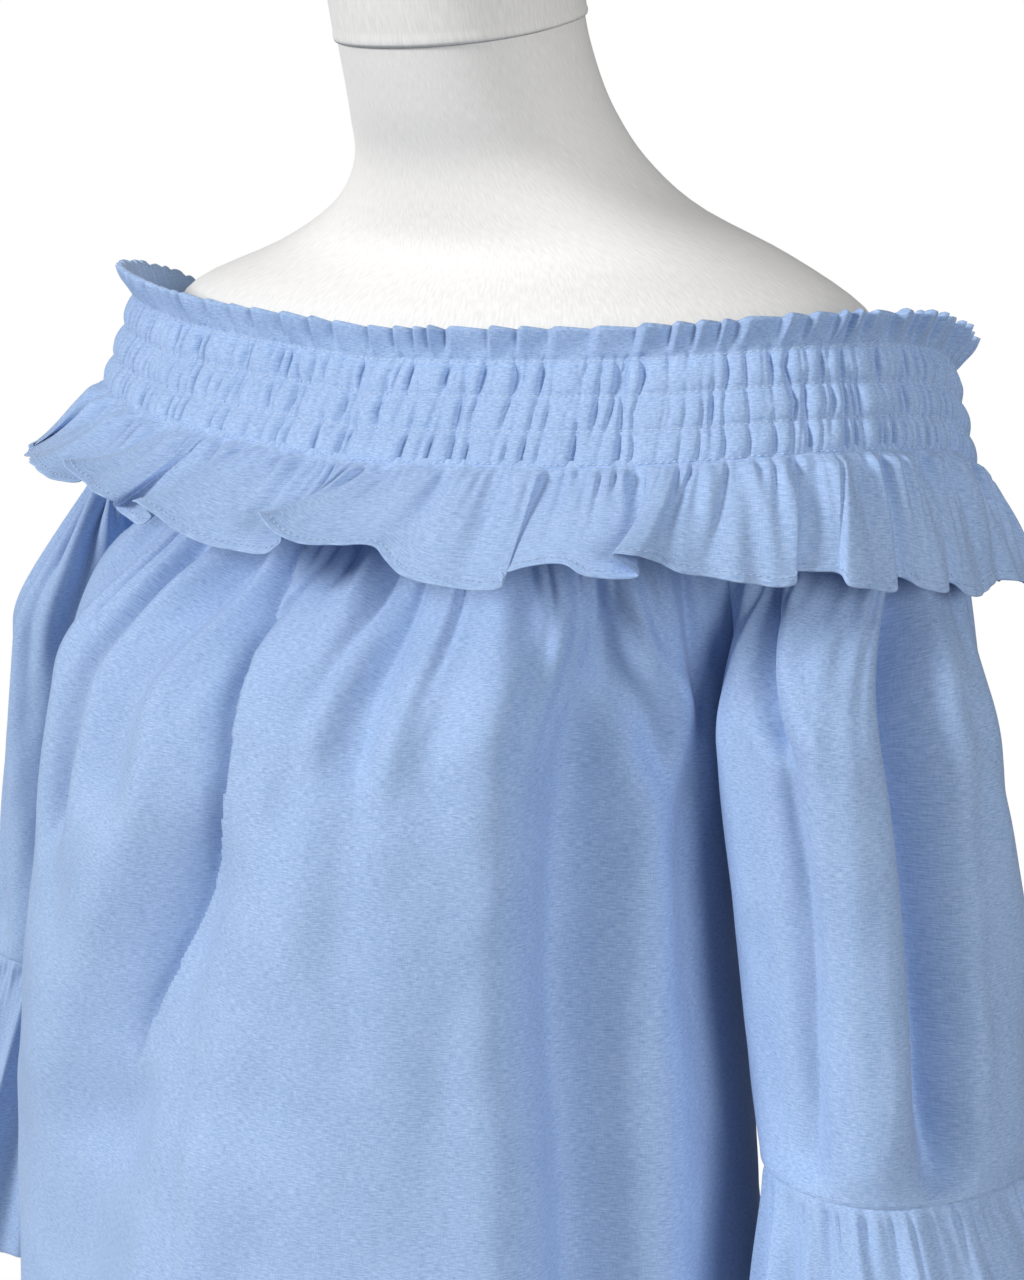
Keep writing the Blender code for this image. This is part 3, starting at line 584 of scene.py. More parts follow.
def gathers(share, drop, width, top, sets, seed):
    """Short uneven folds that start at a gathered seam and die out below it."""
    height = np.zeros(np.broadcast(share, drop).shape)
    for some in sets:
        rng = np.random.default_rng(seed + some.seed)
        for number in range(some.count):
            middle = (number + rng.uniform(0.1, 0.9)) / some.count
            length = some.longest * rng.uniform(0.25, 1.0) ** 1.5
            lean = rng.uniform(-0.08, 0.08)
            wide = width / some.count * rng.uniform(0.16, 0.42)
            deep = some.depth * rng.uniform(0.35, 1.0)
            down = np.clip((drop - top) / length, 0, None)
            off = (share - middle - lean * (drop - top)) * width / (wide * (1 + 0.8 * down))
            height = height - deep * np.exp(-(off**2)) * np.exp(-((1.3 * down) ** 2))
    return height


def unevenness(share, drop, seed, depth, size=0.06):
    """Slow shallow waviness, so that no stretch of cloth is quite smooth."""
    rng = np.random.default_rng(seed)
    height = np.zeros(np.broadcast(share, drop).shape)
    for _ in range(9):
        across, down = rng.uniform(0.5, 1.6, 2) * 2 * np.pi / size
        phase = rng.uniform(0, 2 * np.pi)
        turn = rng.choice((-1, 1))
        wave = np.sin(across * 0.42 * share + turn * 0.35 * down * drop + phase)
        height = height + wave
    return height * depth / 3


def column_steps(grid, axis, closed):
    """Differences along one axis, which wraps where the piece is closed."""
    steps = np.gradient(grid, axis=axis, edge_order=2)
    if axis == 1:
        wrapped = grid[closed:, 1] - grid[closed:, -2]
        steps[closed:, 0] = steps[closed:, -1] = wrapped / 2
    return steps


def outward(grid, closed):
    """Unit normals of a grid of points, away from the middle of its rows."""
    across = column_steps(grid, 1, closed)
    down = column_steps(grid, 0, closed)
    normal = np.cross(across, down)
    normal /= np.linalg.norm(normal, axis=2, keepdims=True) + 1e-12
    from_middle = grid - grid.mean(axis=1, keepdims=True)
    return normal * np.sign((normal * from_middle).sum())


def arc_uv(grid, wide=None):
    """Texture coordinates in metres: along each row, and down each column."""
    steps = np.linalg.norm(np.diff(grid[-1], axis=0), axis=1)
    across = np.concatenate([[0.0], np.cumsum(steps)])
    if wide is not None:
        across = across * wide / across[-1]
    steps = np.linalg.norm(np.diff(grid, axis=0), axis=2).mean(axis=1)
    down = np.concatenate([[0.0], np.cumsum(steps)])
    across, down = np.broadcast_arrays(across[None, :], down[:, None])
    return np.stack([across, down], -1)


def turned_hem(grid, uv, closed, rows, thick):
    """Adds a rounded edge and the hem that is turned up behind the cloth."""
    normal = outward(grid, closed)
    down = grid[-1] - grid[-2]
    down /= np.linalg.norm(down, axis=1, keepdims=True)
    edge = grid[-1] - normal[-1] * thick / 2 + down * thick / 2
    behind = [grid[-1 - row] - normal[-1 - row] * thick for row in range(rows)]
    grid = np.concatenate([grid, [edge], behind])
    uv = np.concatenate([uv, [uv[-1]], [uv[-1 - row] for row in range(rows)]])
    return grid, uv


def grid_object(name, grid, uv, closed, material):
    """A smooth mesh object of a grid. Rows from the row closed on are rings."""
    rows, columns = grid.shape[:2]
    index = np.arange(rows * columns).reshape(rows, columns)
    index[closed:, -1] = index[closed:, 0]
    quads = np.stack([index[:-1, :-1], index[:-1, 1:], index[1:, 1:], index[1:, :-1]], -1)
    corners = np.stack([uv[:-1, :-1], uv[:-1, 1:], uv[1:, 1:], uv[1:, :-1]], 2)
    return mesh_object(name, grid.reshape(-1, 3), quads.reshape(-1, 4), corners, material)


def mesh_object(name, points, faces, corner_uv, material):
    """A smooth mesh object of equal faces, without the points none of them uses."""
    used, faces = np.unique(faces, return_inverse=True)
    faces = faces.reshape(-1, corner_uv.shape[-2])
    mesh = bpy.data.meshes.new(name)
    mesh.from_pydata(points[used].tolist(), [], faces.tolist())
    layer = mesh.uv_layers.new(name="metres")
    layer.data.foreach_set("uv", np.ascontiguousarray(corner_uv, np.float32).ravel())
    mesh.shade_smooth()
    mesh.materials.append(material)
    return linked(name, mesh)


def linked(name, data):
    """A new object of the data, in the scene."""
    thing = bpy.data.objects.new(name, data)
    bpy.context.scene.collection.objects.link(thing)
    return thing


def new_material(name, values):
    """A material's node tree and its shader, with values on the shader's sockets."""
    material = bpy.data.materials.new(name)
    material.use_nodes = True
    shader = material.node_tree.nodes["Principled BSDF"]
    for socket, value in values.items():
        shader.inputs[socket].default_value = value
    return material, material.node_tree, shader


def add_node(tree, kind, values=None, sources=None):
    """A new node with values on some sockets and other nodes' outputs on some."""
    node = tree.nodes.new("ShaderNode" + kind)
    for socket, value in (values or {}).items():
        node.inputs[socket].default_value = value
    for socket, source in (sources or {}).items():
        tree.links.new(source, node.inputs[socket])
    return node


def yarns(tree, across, down, detail, roughness=0.5):
    """Noise drawn out along the yarns, with its turns to the metre each way."""
    uv = add_node(tree, "TexCoord").outputs["UV"]
    mapping = add_node(tree, "Mapping", {"Scale": (across, down, 1.0)}, {"Vector": uv})
    values = {"Scale": 1.0, "Detail": detail, "Roughness": roughness}
    return add_node(tree, "TexNoise", values, {"Vector": mapping.outputs["Vector"]}).outputs["Fac"]


def weighted_sum(tree, parts):
    """The sum of some outputs, each times its weight."""
    total = None
    for source, weight in parts:
        term = add_node(tree, "Math", {1: weight}, {0: source})
        term.operation = "MULTIPLY"
        if total is None:
            total = term.outputs[0]
        else:
            total = add_node(tree, "Math", None, {0: total, 1: term.outputs[0]}).outputs[0]
    return total


def coloured(tree, shader, tone, dark, light):
    """Colours the shader by a tone, each end given as its place and colour."""
    ramp = add_node(tree, "ValToRGB", None, {"Fac": tone})
    for element, (place, colour) in zip(ramp.color_ramp.elements, (dark, light)):
        element.position = place
        element.color = (*colour, 1.0)
    tree.links.new(ramp.outputs["Color"], shader.inputs["Base Color"])


def bumped(tree, shader, height, strength, distance):
    """Gives the shader a fine relief."""
    bump = add_node(tree, "Bump", {"Strength": strength, "Distance": distance}, {"Height": height})
    tree.links.new(bump.outputs["Normal"], shader.inputs["Normal"])


def chambray(name):
    """Plain-weave cotton of blue and white yarns, thick and thin in places."""
    values = {
        "Roughness": 0.76,
        "Sheen Weight": 0.20,
        "Sheen Roughness": 0.5,
        "Specular IOR Level": 0.45,
    }
    material, tree, shader = new_material(name, values)
    weft = yarns(tree, 300.0, 1900.0, 2.0, 0.55)
    warp = yarns(tree, 2100.0, 320.0, 2.0, 0.55)
    slub = yarns(tree, 150.0, 1300.0, 1.0, 0.55)
    patch = yarns(tree, 22.0, 30.0, 2.0, 0.55)
    weave = weighted_sum(tree, ((weft, 0.55), (warp, 0.25), (slub, 0.20)))
    tone = weighted_sum(tree, ((weave, 0.90), (patch, 0.10)))
    coloured(tree, shader, tone, (0.36, (0.215, 0.345, 0.590)), (0.64, (0.430, 0.580, 0.850)))
    bumped(tree, shader, weave, 0.3, 0.0003)
    return material


def jersey(name):
    """Off-white knitted cover with fine upright ribs."""
    values = {"Roughness": 0.9, "Sheen Weight": 0.15, "Specular IOR Level": 0.2}
    material, tree, shader = new_material(name, values)
    ribs = yarns(tree, 950.0, 160.0, 2.0)
    coloured(tree, shader, ribs, (0.3, (0.760, 0.750, 0.735)), (0.7, (0.860, 0.852, 0.838)))
    bumped(tree, shader, ribs, 0.4, 0.0002)
    return material


def thread(name, colour):
    """Cotton sewing thread, fuzzy and a little shiny."""
    material, tree, shader = new_material(name, {"Roughness": 0.6})
    noise = add_node(tree, "TexNoise", {"Scale": 900.0})
    mix = add_node(tree, "Mix")
    mix.data_type = "RGBA"
    mix.inputs["A"].default_value = (*[0.86 * part for part in colour], 1.0)
    mix.inputs["B"].default_value = (*colour, 1.0)
    tree.links.new(noise.outputs["Fac"], mix.inputs["Factor"])
    tree.links.new(mix.outputs["Result"], shader.inputs["Base Color"])
    return material


def declare(piece, node):
    """Rides the piece on the one body and hides the model's part that it stands for."""
    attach(piece, "root")
    if node:
        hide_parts(node)


def stitch_row(points, normals, pitch, length, radius):
    """Points and faces of stitches laid along a line of points on the cloth."""
    steps = np.linalg.norm(np.diff(points, axis=0), axis=1)
    along = np.concatenate([[0.0], np.cumsum(steps)])
    count = int(along[-1] / pitch)
    starts = (np.arange(count) + 0.25) * along[-1] / count

    def at(values, places):
        return np.stack([np.interp(places, along, values[:, k]) for k in range(3)], 1)

    first, last = at(points, starts), at(points, starts + length)
    up = at(normals, starts + length / 2)
    up /= np.linalg.norm(up, axis=1, keepdims=True)
    ahead = last - first
    ahead /= np.linalg.norm(ahead, axis=1, keepdims=True) + 1e-12
    beside = np.cross(up, ahead)
    middle = (first + last) / 2
    corners = [
        first - up * radius * 0.4,
        middle + beside * radius,
        middle + up * radius,
        middle - beside * radius,
        middle - up * radius,
        last - up * radius * 0.4,
    ]
    local = np.array(
        [(0, 1, 2), (0, 2, 3), (0, 3, 4), (0, 4, 1), (5, 2, 1), (5, 3, 2), (5, 4, 3), (5, 1, 4)]
    )
    points = np.stack(corners, 1).reshape(-1, 3)
    faces = (local[None] + 6 * np.arange(count)[:, None, None]).reshape(-1, 3)
    return points, faces


def stitches(name, rows, material):
    """One object of several rows of stitches."""
    points, faces, first = [], [], 0
    for row_points, row_faces in rows:
        points.append(row_points)
        faces.append(row_faces + first)
        first += len(row_points)
    points, faces = np.concatenate(points), np.concatenate(faces)
    piece = mesh_object(name, points, faces, np.zeros((len(faces), 3, 2)), material)
    declare(piece, None)
    return piece


def hem_stitches(name, grid, closed, lift, material):
    """The row of stitches along a piece's hem, lifted off its cloth."""
    normal = outward(grid, closed)[HEM_STITCH_ROW]
    line = grid[HEM_STITCH_ROW] + normal * lift
    row = stitch_row(line, normal, HEM_STITCH_PITCH, STITCH_LENGTH, HEM_STITCH_RADIUS)
    return stitches(name + "_stitches", [row], material)


def loop_distance(share, place):
    """Signed distance round a closed ring, as a share of it."""
    return (share - place + 0.5) % 1.0 - 0.5


def band_surface():
    """Grid of the neckband's outside, with its rolls, creases and ruffle."""
    rng = np.random.default_rng(11)
    share = np.linspace(0.0, 1.0, BAND_COLUMNS + 1)[None, :]
    heading_rows = np.linspace(0.0, HEADING, HEADING_ROWS + 1)[:-1]
    casing_rows = np.linspace(HEADING, BAND_DROP, CASINGS * CASING_ROWS + 1)
    drop = np.concatenate([heading_rows, casing_rows])[:, None]
    places = (np.arange(BAND_CREASES) + rng.uniform(-0.36, 0.36, BAND_CREASES)) / BAND_CREASES
    centres = [HEADING / 2] + [HEADING + (k + 0.5) * CASING for k in range(CASINGS)]
    moves = rng.normal(0.0, 0.0011 / BAND_LENGTH, (BAND_CREASES, 4))
    depths = rng.uniform(0.15, 1.0, (BAND_CREASES, 4)) ** 1.3
    depths[:, 1:] *= np.where(rng.random((BAND_CREASES, 3)) < 0.16, 0.1, 1.0)
    casing_share = np.clip((drop - HEADING) / CASING, 0, CASINGS) % 1.0
    casing_share = np.where(drop >= BAND_DROP - 1e-9, 0.0, casing_share)
    roll = np.sin(np.pi * casing_share) ** 0.7
    in_heading = ease((HEADING - drop) / 0.003)
    height = 0.0026 * roll * (1 - in_heading)
    for number in range(BAND_CREASES):
        place = places[number] + np.interp(drop, centres, moves[number])
        deep = np.interp(drop, centres, depths[number])
        off = np.abs(loop_distance(share, place)) * BAND_LENGTH
        wide = 0.0007 + 0.0004 * depths[number, 2]
        valley = np.exp(-((off / wide) ** 2)) * 0.75 + np.exp(-((off / 0.0026) ** 2)) * 0.40
        pinch = 0.50 + 0.50 * roll
        height = height - 0.0052 * deep * valley * pinch * (1 - in_heading)
    picked = np.cumsum(rng.choice((1, 2, 2, 3), BAND_CREASES))
    picked = picked[picked < BAND_CREASES]
    pleats = places[picked]
    edges = np.concatenate([[pleats[-1] - 1], pleats, [pleats[0] + 1]])
    row = np.searchsorted(edges, share[0]) - 1
    across = (share[0] - edges[row]) / (edges[row + 1] - edges[row])
    size = (0.7 + 0.5 * rng.random(len(edges)))[row]
    size[-1] = size[0]
    knife = ease(across / 0.26) * (1 - 0.9 * np.clip((across - 0.26) / 0.74, 0, 1) ** 1.3)
    open_up = ease((HEADING - drop) / HEADING + 0.12)
    height = height + (knife[None] * size[None] * 0.0056 - 0.0016) * open_up * in_heading
    angle = 2 * np.pi * share
    base = oval(BAND_SECTIONS, angle, drop, BAND_SQUARENESS, BAND_WALL + 0.0004 + height)
    z = NECKLINE + neckline_rise(angle) - drop
    scallop = (knife[None] * size[None] - 0.5) * 0.0022 * ease((0.006 - drop) / 0.006)
    grid = points_at(base, z + scallop)
    grid[:, -1] = grid[:, 0]
    return grid, share, drop


def neck_band(cloth, sewing):
    """The gathered neckband: heading, casings, plain inside and stitch rows."""
    grid, share, drop = band_surface()
    uv = np.stack(np.broadcast_arrays(share * BAND_CUT, drop), -1)
    angle = 2 * np.pi * share
    inner_drop = np.linspace(0.0004, BAND_DROP, 7)[:, None]
    inside = oval(BAND_SECTIONS, angle, inner_drop, BAND_SQUARENESS, 0.0007)
    folded = (grid[0:1] - points_at(inside, 0.0)[:1]) * (1, 1, 0) * 0.35
    fades = np.exp(-inner_drop / 0.006)[..., None]
    z = NECKLINE + neckline_rise(angle) - inner_drop
    inside = points_at(inside, z) + folded * fades
    inside[:2, :, 2] += (grid[0, :, 2] - inside[0, :, 2]) * np.array([[1.0], [0.3]])
    ridge = (grid[0:1] + inside[0:1]) / 2
    ridge[..., 2] = grid[0:1, :, 2] + 0.0005
    whole = np.concatenate([inside[::-1], ridge, grid])
    inner_uv = np.stack(np.broadcast_arrays(share * BAND_CUT, -inner_drop), -1)
    whole_uv = np.concatenate([inner_uv[::-1], uv[:1], uv])
    whole[:, -1] = whole[:, 0]
    piece = grid_object("neck_band_cloth", whole, whole_uv, 0, cloth)
    rows = []
    normal = outward(grid, 0)
    for number in range(CASINGS + 1):
        row = min(HEADING_ROWS + CASING_ROWS * number, len(grid) - 2)
        line = grid[row] + normal[row] * 0.0002
        pitch, radius = CASING_STITCH_PITCH, CASING_STITCH_RADIUS
        rows.append(stitch_row(line, normal[row], pitch, STITCH_LENGTH, radius))
    sewn = stitches("neck_band_stitches", rows, sewing)
    declare(piece, "neck_band")


def smoothed_round(values, reach):
    """Values averaged with their neighbours round each closed ring."""
    weights = np.hanning(2 * reach + 1)
    weights /= weights.sum()
    wrapped = np.concatenate([values[:, -reach - 1 : -1], values, values[:, 1 : reach + 1]], 1)
    return np.stack([np.convolve(row, weights, "valid") for row in wrapped])


def hem_knots():
    """All the points of the neck flounce's hem, once round and back to the first."""
    knots = list(FRONT_HEM)
    for tuck in BACK_TUCKS:
        lifted = 0.018 * ease((tuck.angle - 185.0) / 40.0)
        half = tuck.over / 2
        knots.append(Hem(tuck.angle - 4.0 - half, tuck.depth, lifted))
        knots.append(Hem(tuck.angle + half, tuck.depth * 0.6, lifted + 0.002))
        knots.append(Hem(tuck.angle - half, 0.002, lifted + tuck.rise))
        knots.append(Hem(tuck.angle + 3.0 + half, 0.002, lifted + tuck.rise * 0.7))
    first = knots[0]
    return knots + [Hem(first.angle + 360, first.out, first.rise)]


def neck_flounce(cloth, sewing):
    """The gathered flounce with its uneven folds and its narrow hem."""
    columns = 1800
    share = np.linspace(0.0, 1.0, columns + 1)[None, :]
    rows = np.concatenate([[-0.05], np.linspace(0.0, 0.94, 33), np.linspace(0.952, 1.0, 5)])
    rows = rows[:, None]
    down = np.clip(rows, 0.0, 1.0)
    knots = hem_knots()
    turns, outs, rises = (np.array(part) for part in zip(*knots))
    turns = np.radians(turns)
    steps = np.sqrt((0.2 * np.diff(turns)) ** 2 + np.diff(outs) ** 2 + np.diff(rises) ** 2)
    places = np.concatenate([[0.0], np.cumsum(steps)]) / steps.sum()
    full = 2 * np.pi
    turns = np.concatenate([turns[-4:-1] - full, turns, turns[1:4] + full])
    outs = np.concatenate([outs[-4:-1], outs, outs[1:4]])
    rises = np.concatenate([rises[-4:-1], rises, rises[1:4]])
    places = np.concatenate([places[-4:-1] - 1, places, places[1:4] + 1])
    hem_angle = smooth_through(places, turns, share)
    out = smooth_through(places, outs, share)
    rise = smooth_through(places, rises, share)
    swing = hem_angle - full * share
    even = smoothed_round(smoothed_round(swing, 70), 46)
    angle = full * share + even + (swing - even) * down**0.85
    small = gathers(share, down * NECK_FLOUNCE, 2.3, 0.0, FLOUNCE_GATHERS, 0)
    small = small - small.mean(axis=1, keepdims=True)
    small = 0.006 * np.tanh(small / 0.006) * ease(down / 0.10 + 0.16)
    puckers = 0.00028 * np.sin(full * 173 * share + 3 * np.sin(full * 31 * share))
    hem = ease((down - 0.940) / 0.012)
    small = small + hem * (0.00035 + puckers)
    beyond = BAND_WALL + 0.0002 + 0.0022 * ease(down / 0.06) + 0.0042 * down
    beyond = beyond + out * down**0.9 + small + 0.03 * np.clip(rows, -1, 0)
    xy = oval(FLOUNCE_SECTIONS, angle, down, BAND_SQUARENESS, beyond)
    tall = NECK_FLOUNCE - FRONT_FLOUNCE_SHORTER * np.clip(-np.sin(angle), 0, None)
    top = NECKLINE + neckline_rise(angle) - BAND_DROP + 0.0006
    grid = points_at(xy, top - tall * rows + rise * down**1.6)
    grid[:, -1] = grid[:, 0]
    uv = np.stack(np.broadcast_arrays(share * 1.75, down * NECK_FLOUNCE), -1)
    sewn = hem_stitches("neck_flounce", grid, 0, 0.0003, sewing)
    grid, uv = turned_hem(grid, uv, 0, 5, 0.0008)
    piece = grid_object("neck_flounce_cloth", grid, uv, 0, cloth)
    declare(piece, "neck_flounce")


def panel(name, facing, folds, creases, seed, cloth, sewing):
    """The front or the back of the body, with its folds and turned hem."""
    share = np.linspace(0.0, 1.0, 371)[None, :]
    above_hem = np.linspace(BAND_DROP + 0.001, HEM - 0.012, 160)
    drop = np.concatenate([above_hem, HEM - np.linspace(0.010, 0.0, 6)])[:, None]
    edges = np.minimum(share, 1 - share)
    lift = 0.6 * fold_heights(folds, share, drop, PANEL_FOLD_WIDTH) * ease(edges / 0.10)
    lift = lift * ease((drop - BAND_DROP) / 0.04)
    fine = fold_heights(creases, share, drop, PANEL_FOLD_WIDTH)
    fine = fine + gathers(share, drop, 0.40, UNDER_FLOUNCE, PANEL_GATHERS, seed)
    fine = fine + unevenness(share, drop, seed + 2, 0.0005) * ease((drop - 0.09) / 0.1)
    fine = fine + unevenness(share, drop, seed + 3, 0.0002, 0.025)
    lift = lift + fine * ease(edges / 0.05) * ease((drop - BAND_DROP) / 0.012)
    deepest = DEEPEST_TROUGH + DEEPER_BELOW * ease((drop - 0.12) / 0.06)
    lift = np.where(lift < 0, deepest * np.tanh(lift / deepest), lift)
    grid = panel_middle(facing, share, drop)
    grid = grid + outward(grid, len(drop)) * lift[..., None]
    uv = arc_uv(grid, 0.56)
    sewn = hem_stitches(name, grid, len(drop), 0.0002, sewing)
    grid, uv = turned_hem(grid, uv, len(grid), 6, 0.0009)
    piece = grid_object(name + "_cloth", grid, uv, len(grid), cloth)
    declare(piece, name)


def sleeve(name, wearer_side, folds, creases, seed, cloth):
    """A raglan sleeve with its folds, down to the seam of its flounce."""
    share = np.linspace(0.0, 1.0, 281)[None, :]
    upper = np.linspace(BAND_DROP + 0.001, UNDERARM, 54)
    lower = np.linspace(UNDERARM, SLEEVE_SEAM, 80)[1:]
    below = SLEEVE_SEAM + np.array([0.0010, 0.0030, 0.0060])
    drop = np.concatenate([upper, lower, below])[:, None]
    closed = len(upper) - 1
    edges = np.minimum(share, 1 - share)
    lift = fold_heights(folds, share, drop, SLEEVE_FOLD_WIDTH) * ease(edges / 0.12)
    lift = lift * ease((drop - BAND_DROP) / 0.04) * ease((SLEEVE_SEAM - drop) / 0.02 + 0.2)
    fine = fold_heights(creases, share, drop, SLEEVE_FOLD_WIDTH)
    fine = fine + gathers(share, drop, 0.38, UNDER_FLOUNCE, SLEEVE_GATHERS, seed)
    fine = fine + unevenness(share, drop, seed + 2, 0.0005) * ease((drop - 0.09) / 0.1)
    fine = fine + unevenness(share, drop, seed + 3, 0.0002, 0.025)
    seam_ends = ease((SLEEVE_SEAM - drop) / 0.010)
    lift = lift + fine * ease(edges / 0.05) * ease((drop - BAND_DROP) / 0.012) * seam_ends
    lift = lift - 0.0024 * ease((drop - SLEEVE_SEAM) / 0.002)
    grid = sleeve_middle(wearer_side, share, drop)
    grid = grid + outward(grid, closed) * lift[..., None]
    grid[closed:, -1] = grid[closed:, 0]
    uv = arc_uv(grid, 0.46)
    piece = grid_object(name + "_cloth", grid, uv, closed, cloth)
    declare(piece, name)


def sleeve_flounce(name, wearer_side, seed, cloth, sewing):
    """The gathered lower part of a sleeve, with its turned hem."""
    rng = np.random.default_rng(seed)
    sections = LEFT_CUFF_SECTIONS if wearer_side > 0 else RIGHT_CUFF_SECTIONS
    columns = 440
    share = np.linspace(0.0, 1.0, columns + 1)[None, :]
    down = np.concatenate([np.linspace(0.0, 0.93, 62), 1 - np.linspace(0.06, 0.0, 5)])[:, None]
    drop = SLEEVE_SEAM + (CUFF - SLEEVE_SEAM) * down
    count = 18
    knots = (np.arange(count) + rng.uniform(-0.22, 0.22, count)) / count
    sizes = rng.uniform(0.6, 1.25, count)
    leans = rng.uniform(0.3, 1.0, count)
    out = np.full(np.broadcast(share, down).shape, -0.0012)
    shift = np.zeros_like(out)
    for place, size, lean in zip(knots, sizes, leans):
        off = loop_distance(share - 0.010 * lean * down, place) * 0.55
        wide = 0.0060 + 0.0050 * down
        out = out + 0.0110 * size * np.exp(-((off / wide) ** 2)) * ease(down * 1.6 + 0.08)
        shift = shift - 0.0030 * lean * off / wide * np.exp(-((off / wide) ** 2)) * 2.33 * down
    out = out + gathers(share, drop, 0.50, SLEEVE_SEAM, CUFF_GATHERS, seed)
    out = out + unevenness(share, drop, seed + 3, 0.0006) * np.sin(np.pi * share) ** 0.5
    out = (out + 0.0022) * ease(down / 0.05 + 0.10) - 0.0006 + 0.0010 * ease(down / 0.020)
    angle = (2 * share - 1) * np.pi + shift / 0.09
    xy = oval(sections, angle, drop, SLEEVE_SQUARENESS, out) * (wearer_side, 1)
    hem_lift = 0.003 * np.sin(2 * np.pi * 5 * share + seed) * down**3
    grid = points_at(xy, NECKLINE - drop + hem_lift)
    grid[:, -1] = grid[:, 0]
    uv = np.stack(np.broadcast_arrays(share * 0.80, drop), -1)
    sewn = hem_stitches(name, grid, 0, 0.0002, sewing)
    grid, uv = turned_hem(grid, uv, 0, 5, 0.0009)
    piece = grid_object(name + "_cloth", grid, uv, 0, cloth)
    declare(piece, name)


def form_ring(angle, drop, grow=0.0):
    """A ring of the dress form. A drop may differ from point to point."""
    drop = np.broadcast_to(drop, angle.shape)
    xy = oval(FORM_SECTIONS, angle, drop, FORM_SQUARENESS, grow)
    return points_at(xy, NECKLINE - drop)


def neck_seam_drop(angle, raised, grow=0.0):
    """Drops at which a sloping plane, lower at the front, cuts the neck."""
    drop = np.full(len(angle), -NECK_CAP_SEAM)
    for _ in range(8):
        ring = form_ring(angle, drop, grow)
        drop = -(NECK_CAP_SEAM + raised + NECK_CAP_SLOPE * (ring[:, 1] - NECK_MIDDLE))
    return drop


def end_cap(ring, rows, height):
    """Rings that close a piece from its last ring in to its middle."""
    middle = ring.mean(axis=0)
    shares = np.linspace(1.0, 0.0, rows + 1)[1:]
    rings = []
    for share in shares:
        inner = middle + (ring - middle) * max(share, 0.001)
        inner[:, 2] = ring[:, 2] + height * (1 - share**2)
        rings.append(inner)
    return rings


def dress_form(cover):
    """The covered torso and the separate cap over the top of its neck."""
    angle = np.linspace(0.0, 2 * np.pi, 201)
    top = neck_seam_drop(angle, 0.0)
    rings = []
    for share in np.linspace(0.0, 1.0, 26)[:-1]:
        rings.append(form_ring(angle, top + (-0.080 - top) * share))
    for drop in np.linspace(-0.080, NECKLINE, 150):
        rings.append(form_ring(angle, drop))
    base = end_cap(rings[-1], 3, 0.0)
    grid = np.array(rings + base)
    grid[:, -1] = grid[:, 0]
    uv = arc_uv(grid, 0.80)
    torso = grid_object("form_torso_cover", grid, uv, 0, cover)
    declare(torso, "form_torso")
    top = neck_seam_drop(angle, SEAM, CAP_OVERLAP)
    rings = []
    last = CAP_ROUNDING - NECK_TOP
    inner_edge = form_ring(angle, top - 0.0012, 0.0002)
    rings.append(inner_edge)
    for share in np.linspace(0.0, 1.0, 24):
        grow = CAP_OVERLAP + 0.0004 * np.sin(np.pi * min(share * 8, 1.0))
        rings.append(form_ring(angle, top + (last - top) * share, grow))
    for turn in np.linspace(0.0, np.pi / 2, 9)[1:]:
        grow = CAP_OVERLAP - CAP_ROUNDING * (1 - np.cos(turn))
        rings.append(form_ring(angle, last - CAP_ROUNDING * np.sin(turn), grow))
    rings += end_cap(rings[-1], 6, 0.0)
    grid = np.array(rings)
    grid[:, -1] = grid[:, 0]
    cap = grid_object("neck_cap_cover", grid, arc_uv(grid, 0.40), 0, cover)
    declare(cap, "neck_cap")


def direction(azimuth, elevation):
    """Unit vector to a place, its azimuth in radians from the front towards +X."""
    flat = np.cos(elevation)
    return Vector((np.sin(azimuth) * flat, -np.cos(azimuth) * flat, np.sin(elevation)))


def stage_floor():
    """A pale disc below the dress form."""
    mesh = bpy.data.meshes.new("floor")
    turns = np.linspace(0.0, 2 * np.pi, 97)[:-1]
    ring = [(FLOOR_RADIUS * np.cos(turn), FLOOR_RADIUS * np.sin(turn), 0.0) for turn in turns]
    mesh.from_pydata(ring, [], [tuple(range(len(ring)))])
    values = {"Base Color": (FLOOR_TONE, FLOOR_TONE, FLOOR_TONE, 1), "Roughness": 0.8}
    mesh.materials.append(new_material("pale_floor", values)[0])
    linked("floor", mesh)


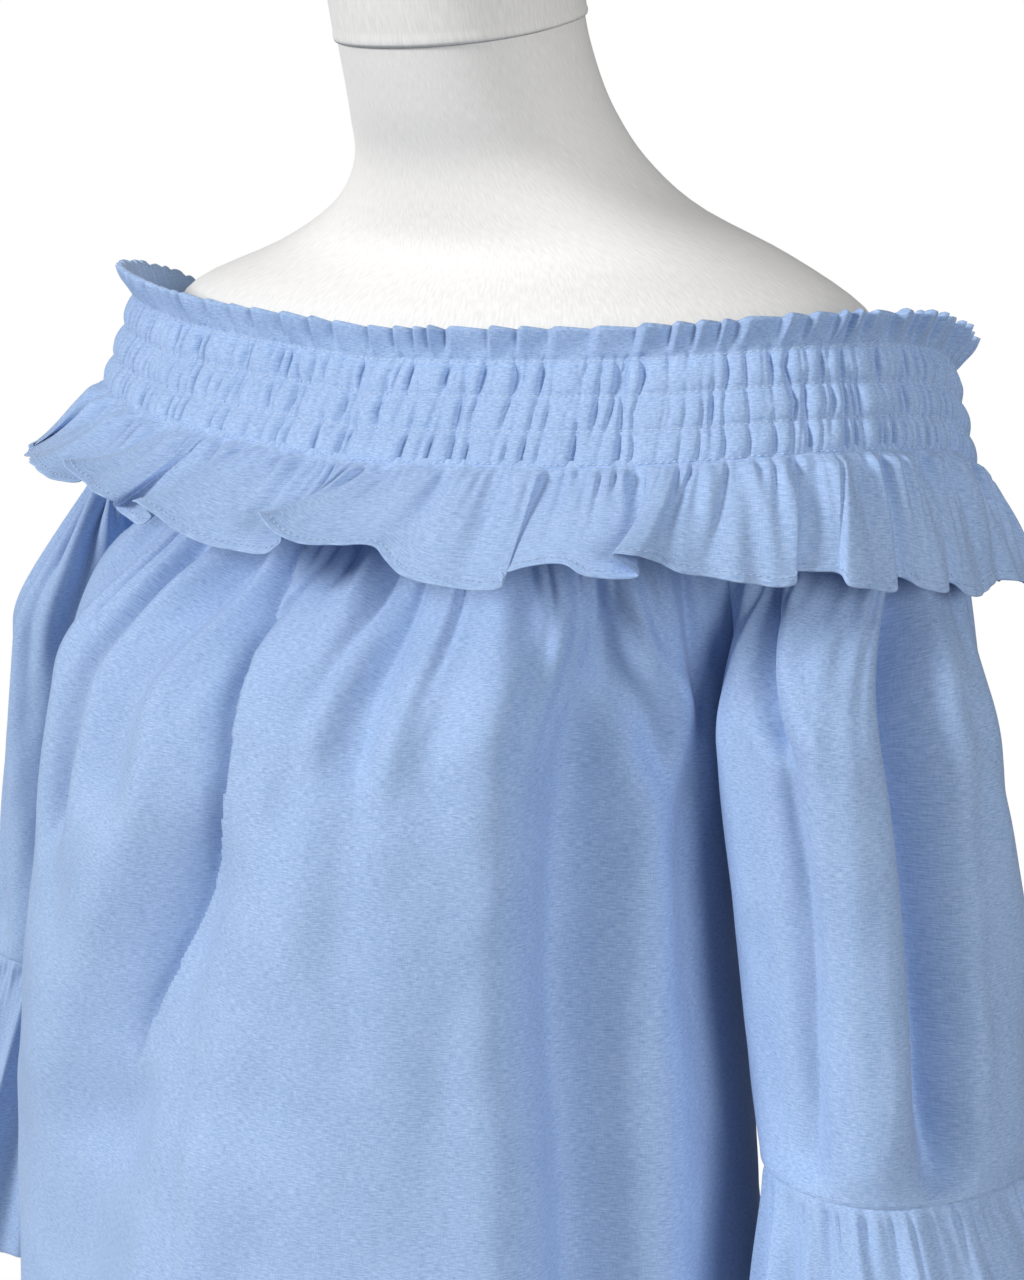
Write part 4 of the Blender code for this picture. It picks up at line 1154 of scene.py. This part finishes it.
def stage_world():
    """Weak even light from all round, in front of a white backdrop."""
    world = bpy.data.worlds.new("studio")
    world.use_nodes = True
    tree = world.node_tree
    white = (1.0, 1.0, 1.0, 1.0)
    sky = tree.nodes["Background"]
    sky.inputs["Color"].default_value = white
    sky.inputs["Strength"].default_value = WORLD_LIGHT
    backdrop = add_node(tree, "Background", {"Color": white})
    rays = add_node(tree, "LightPath")
    sources = {0: rays.outputs["Is Camera Ray"], 1: sky.outputs[0], 2: backdrop.outputs[0]}
    mix = add_node(tree, "MixShader", None, sources)
    tree.links.new(mix.outputs[0], tree.nodes["World Output"].inputs["Surface"])
    bpy.context.scene.world = world
    bpy.context.scene.view_settings.view_transform = "Standard"


def stage_lights():
    """The soft studio lights."""
    for light in LIGHTS:
        data = bpy.data.lights.new(light.name, "SUN")
        data.energy = light.strength
        data.angle = np.radians(light.softness)
        way = direction(np.radians(light.azimuth), np.radians(light.elevation))
        linked(light.name, data).rotation_euler = way.to_track_quat("Z", "Y").to_euler()


def stage_camera():
    """The camera at the photograph's viewing angle."""
    way = direction(CAMERA_AZIMUTH, CAMERA_ELEVATION)
    data = bpy.data.cameras.new("camera")
    data.lens = CAMERA_LENS
    data.clip_start = 0.05
    camera = linked("camera", data)
    camera.location = CAMERA_TARGET + way * CAMERA_DISTANCE
    camera.rotation_euler = (-way).to_track_quat("-Z", "Y").to_euler()
    bpy.context.scene.camera = camera


blue = chambray("chambray_cloth")
white = jersey("jersey_cover")
sewing_thread = thread("sewing_thread", (0.60, 0.72, 0.90))
dress_form(white)
neck_band(blue, sewing_thread)
neck_flounce(blue, sewing_thread)
panel("front_panel", -1, FRONT_FOLDS, FRONT_CREASES, 21, blue, sewing_thread)
panel("back_panel", 1, BACK_FOLDS, BACK_CREASES, 31, blue, sewing_thread)
sleeve("sleeve_left", 1, LEFT_SLEEVE_FOLDS, LEFT_SLEEVE_CREASES, 41, blue)
sleeve("sleeve_right", -1, RIGHT_SLEEVE_FOLDS, RIGHT_SLEEVE_CREASES, 51, blue)
sleeve_flounce("sleeve_flounce_left", 1, 61, blue, sewing_thread)
sleeve_flounce("sleeve_flounce_right", -1, 71, blue, sewing_thread)
stage_floor()
stage_world()
stage_lights()
stage_camera()
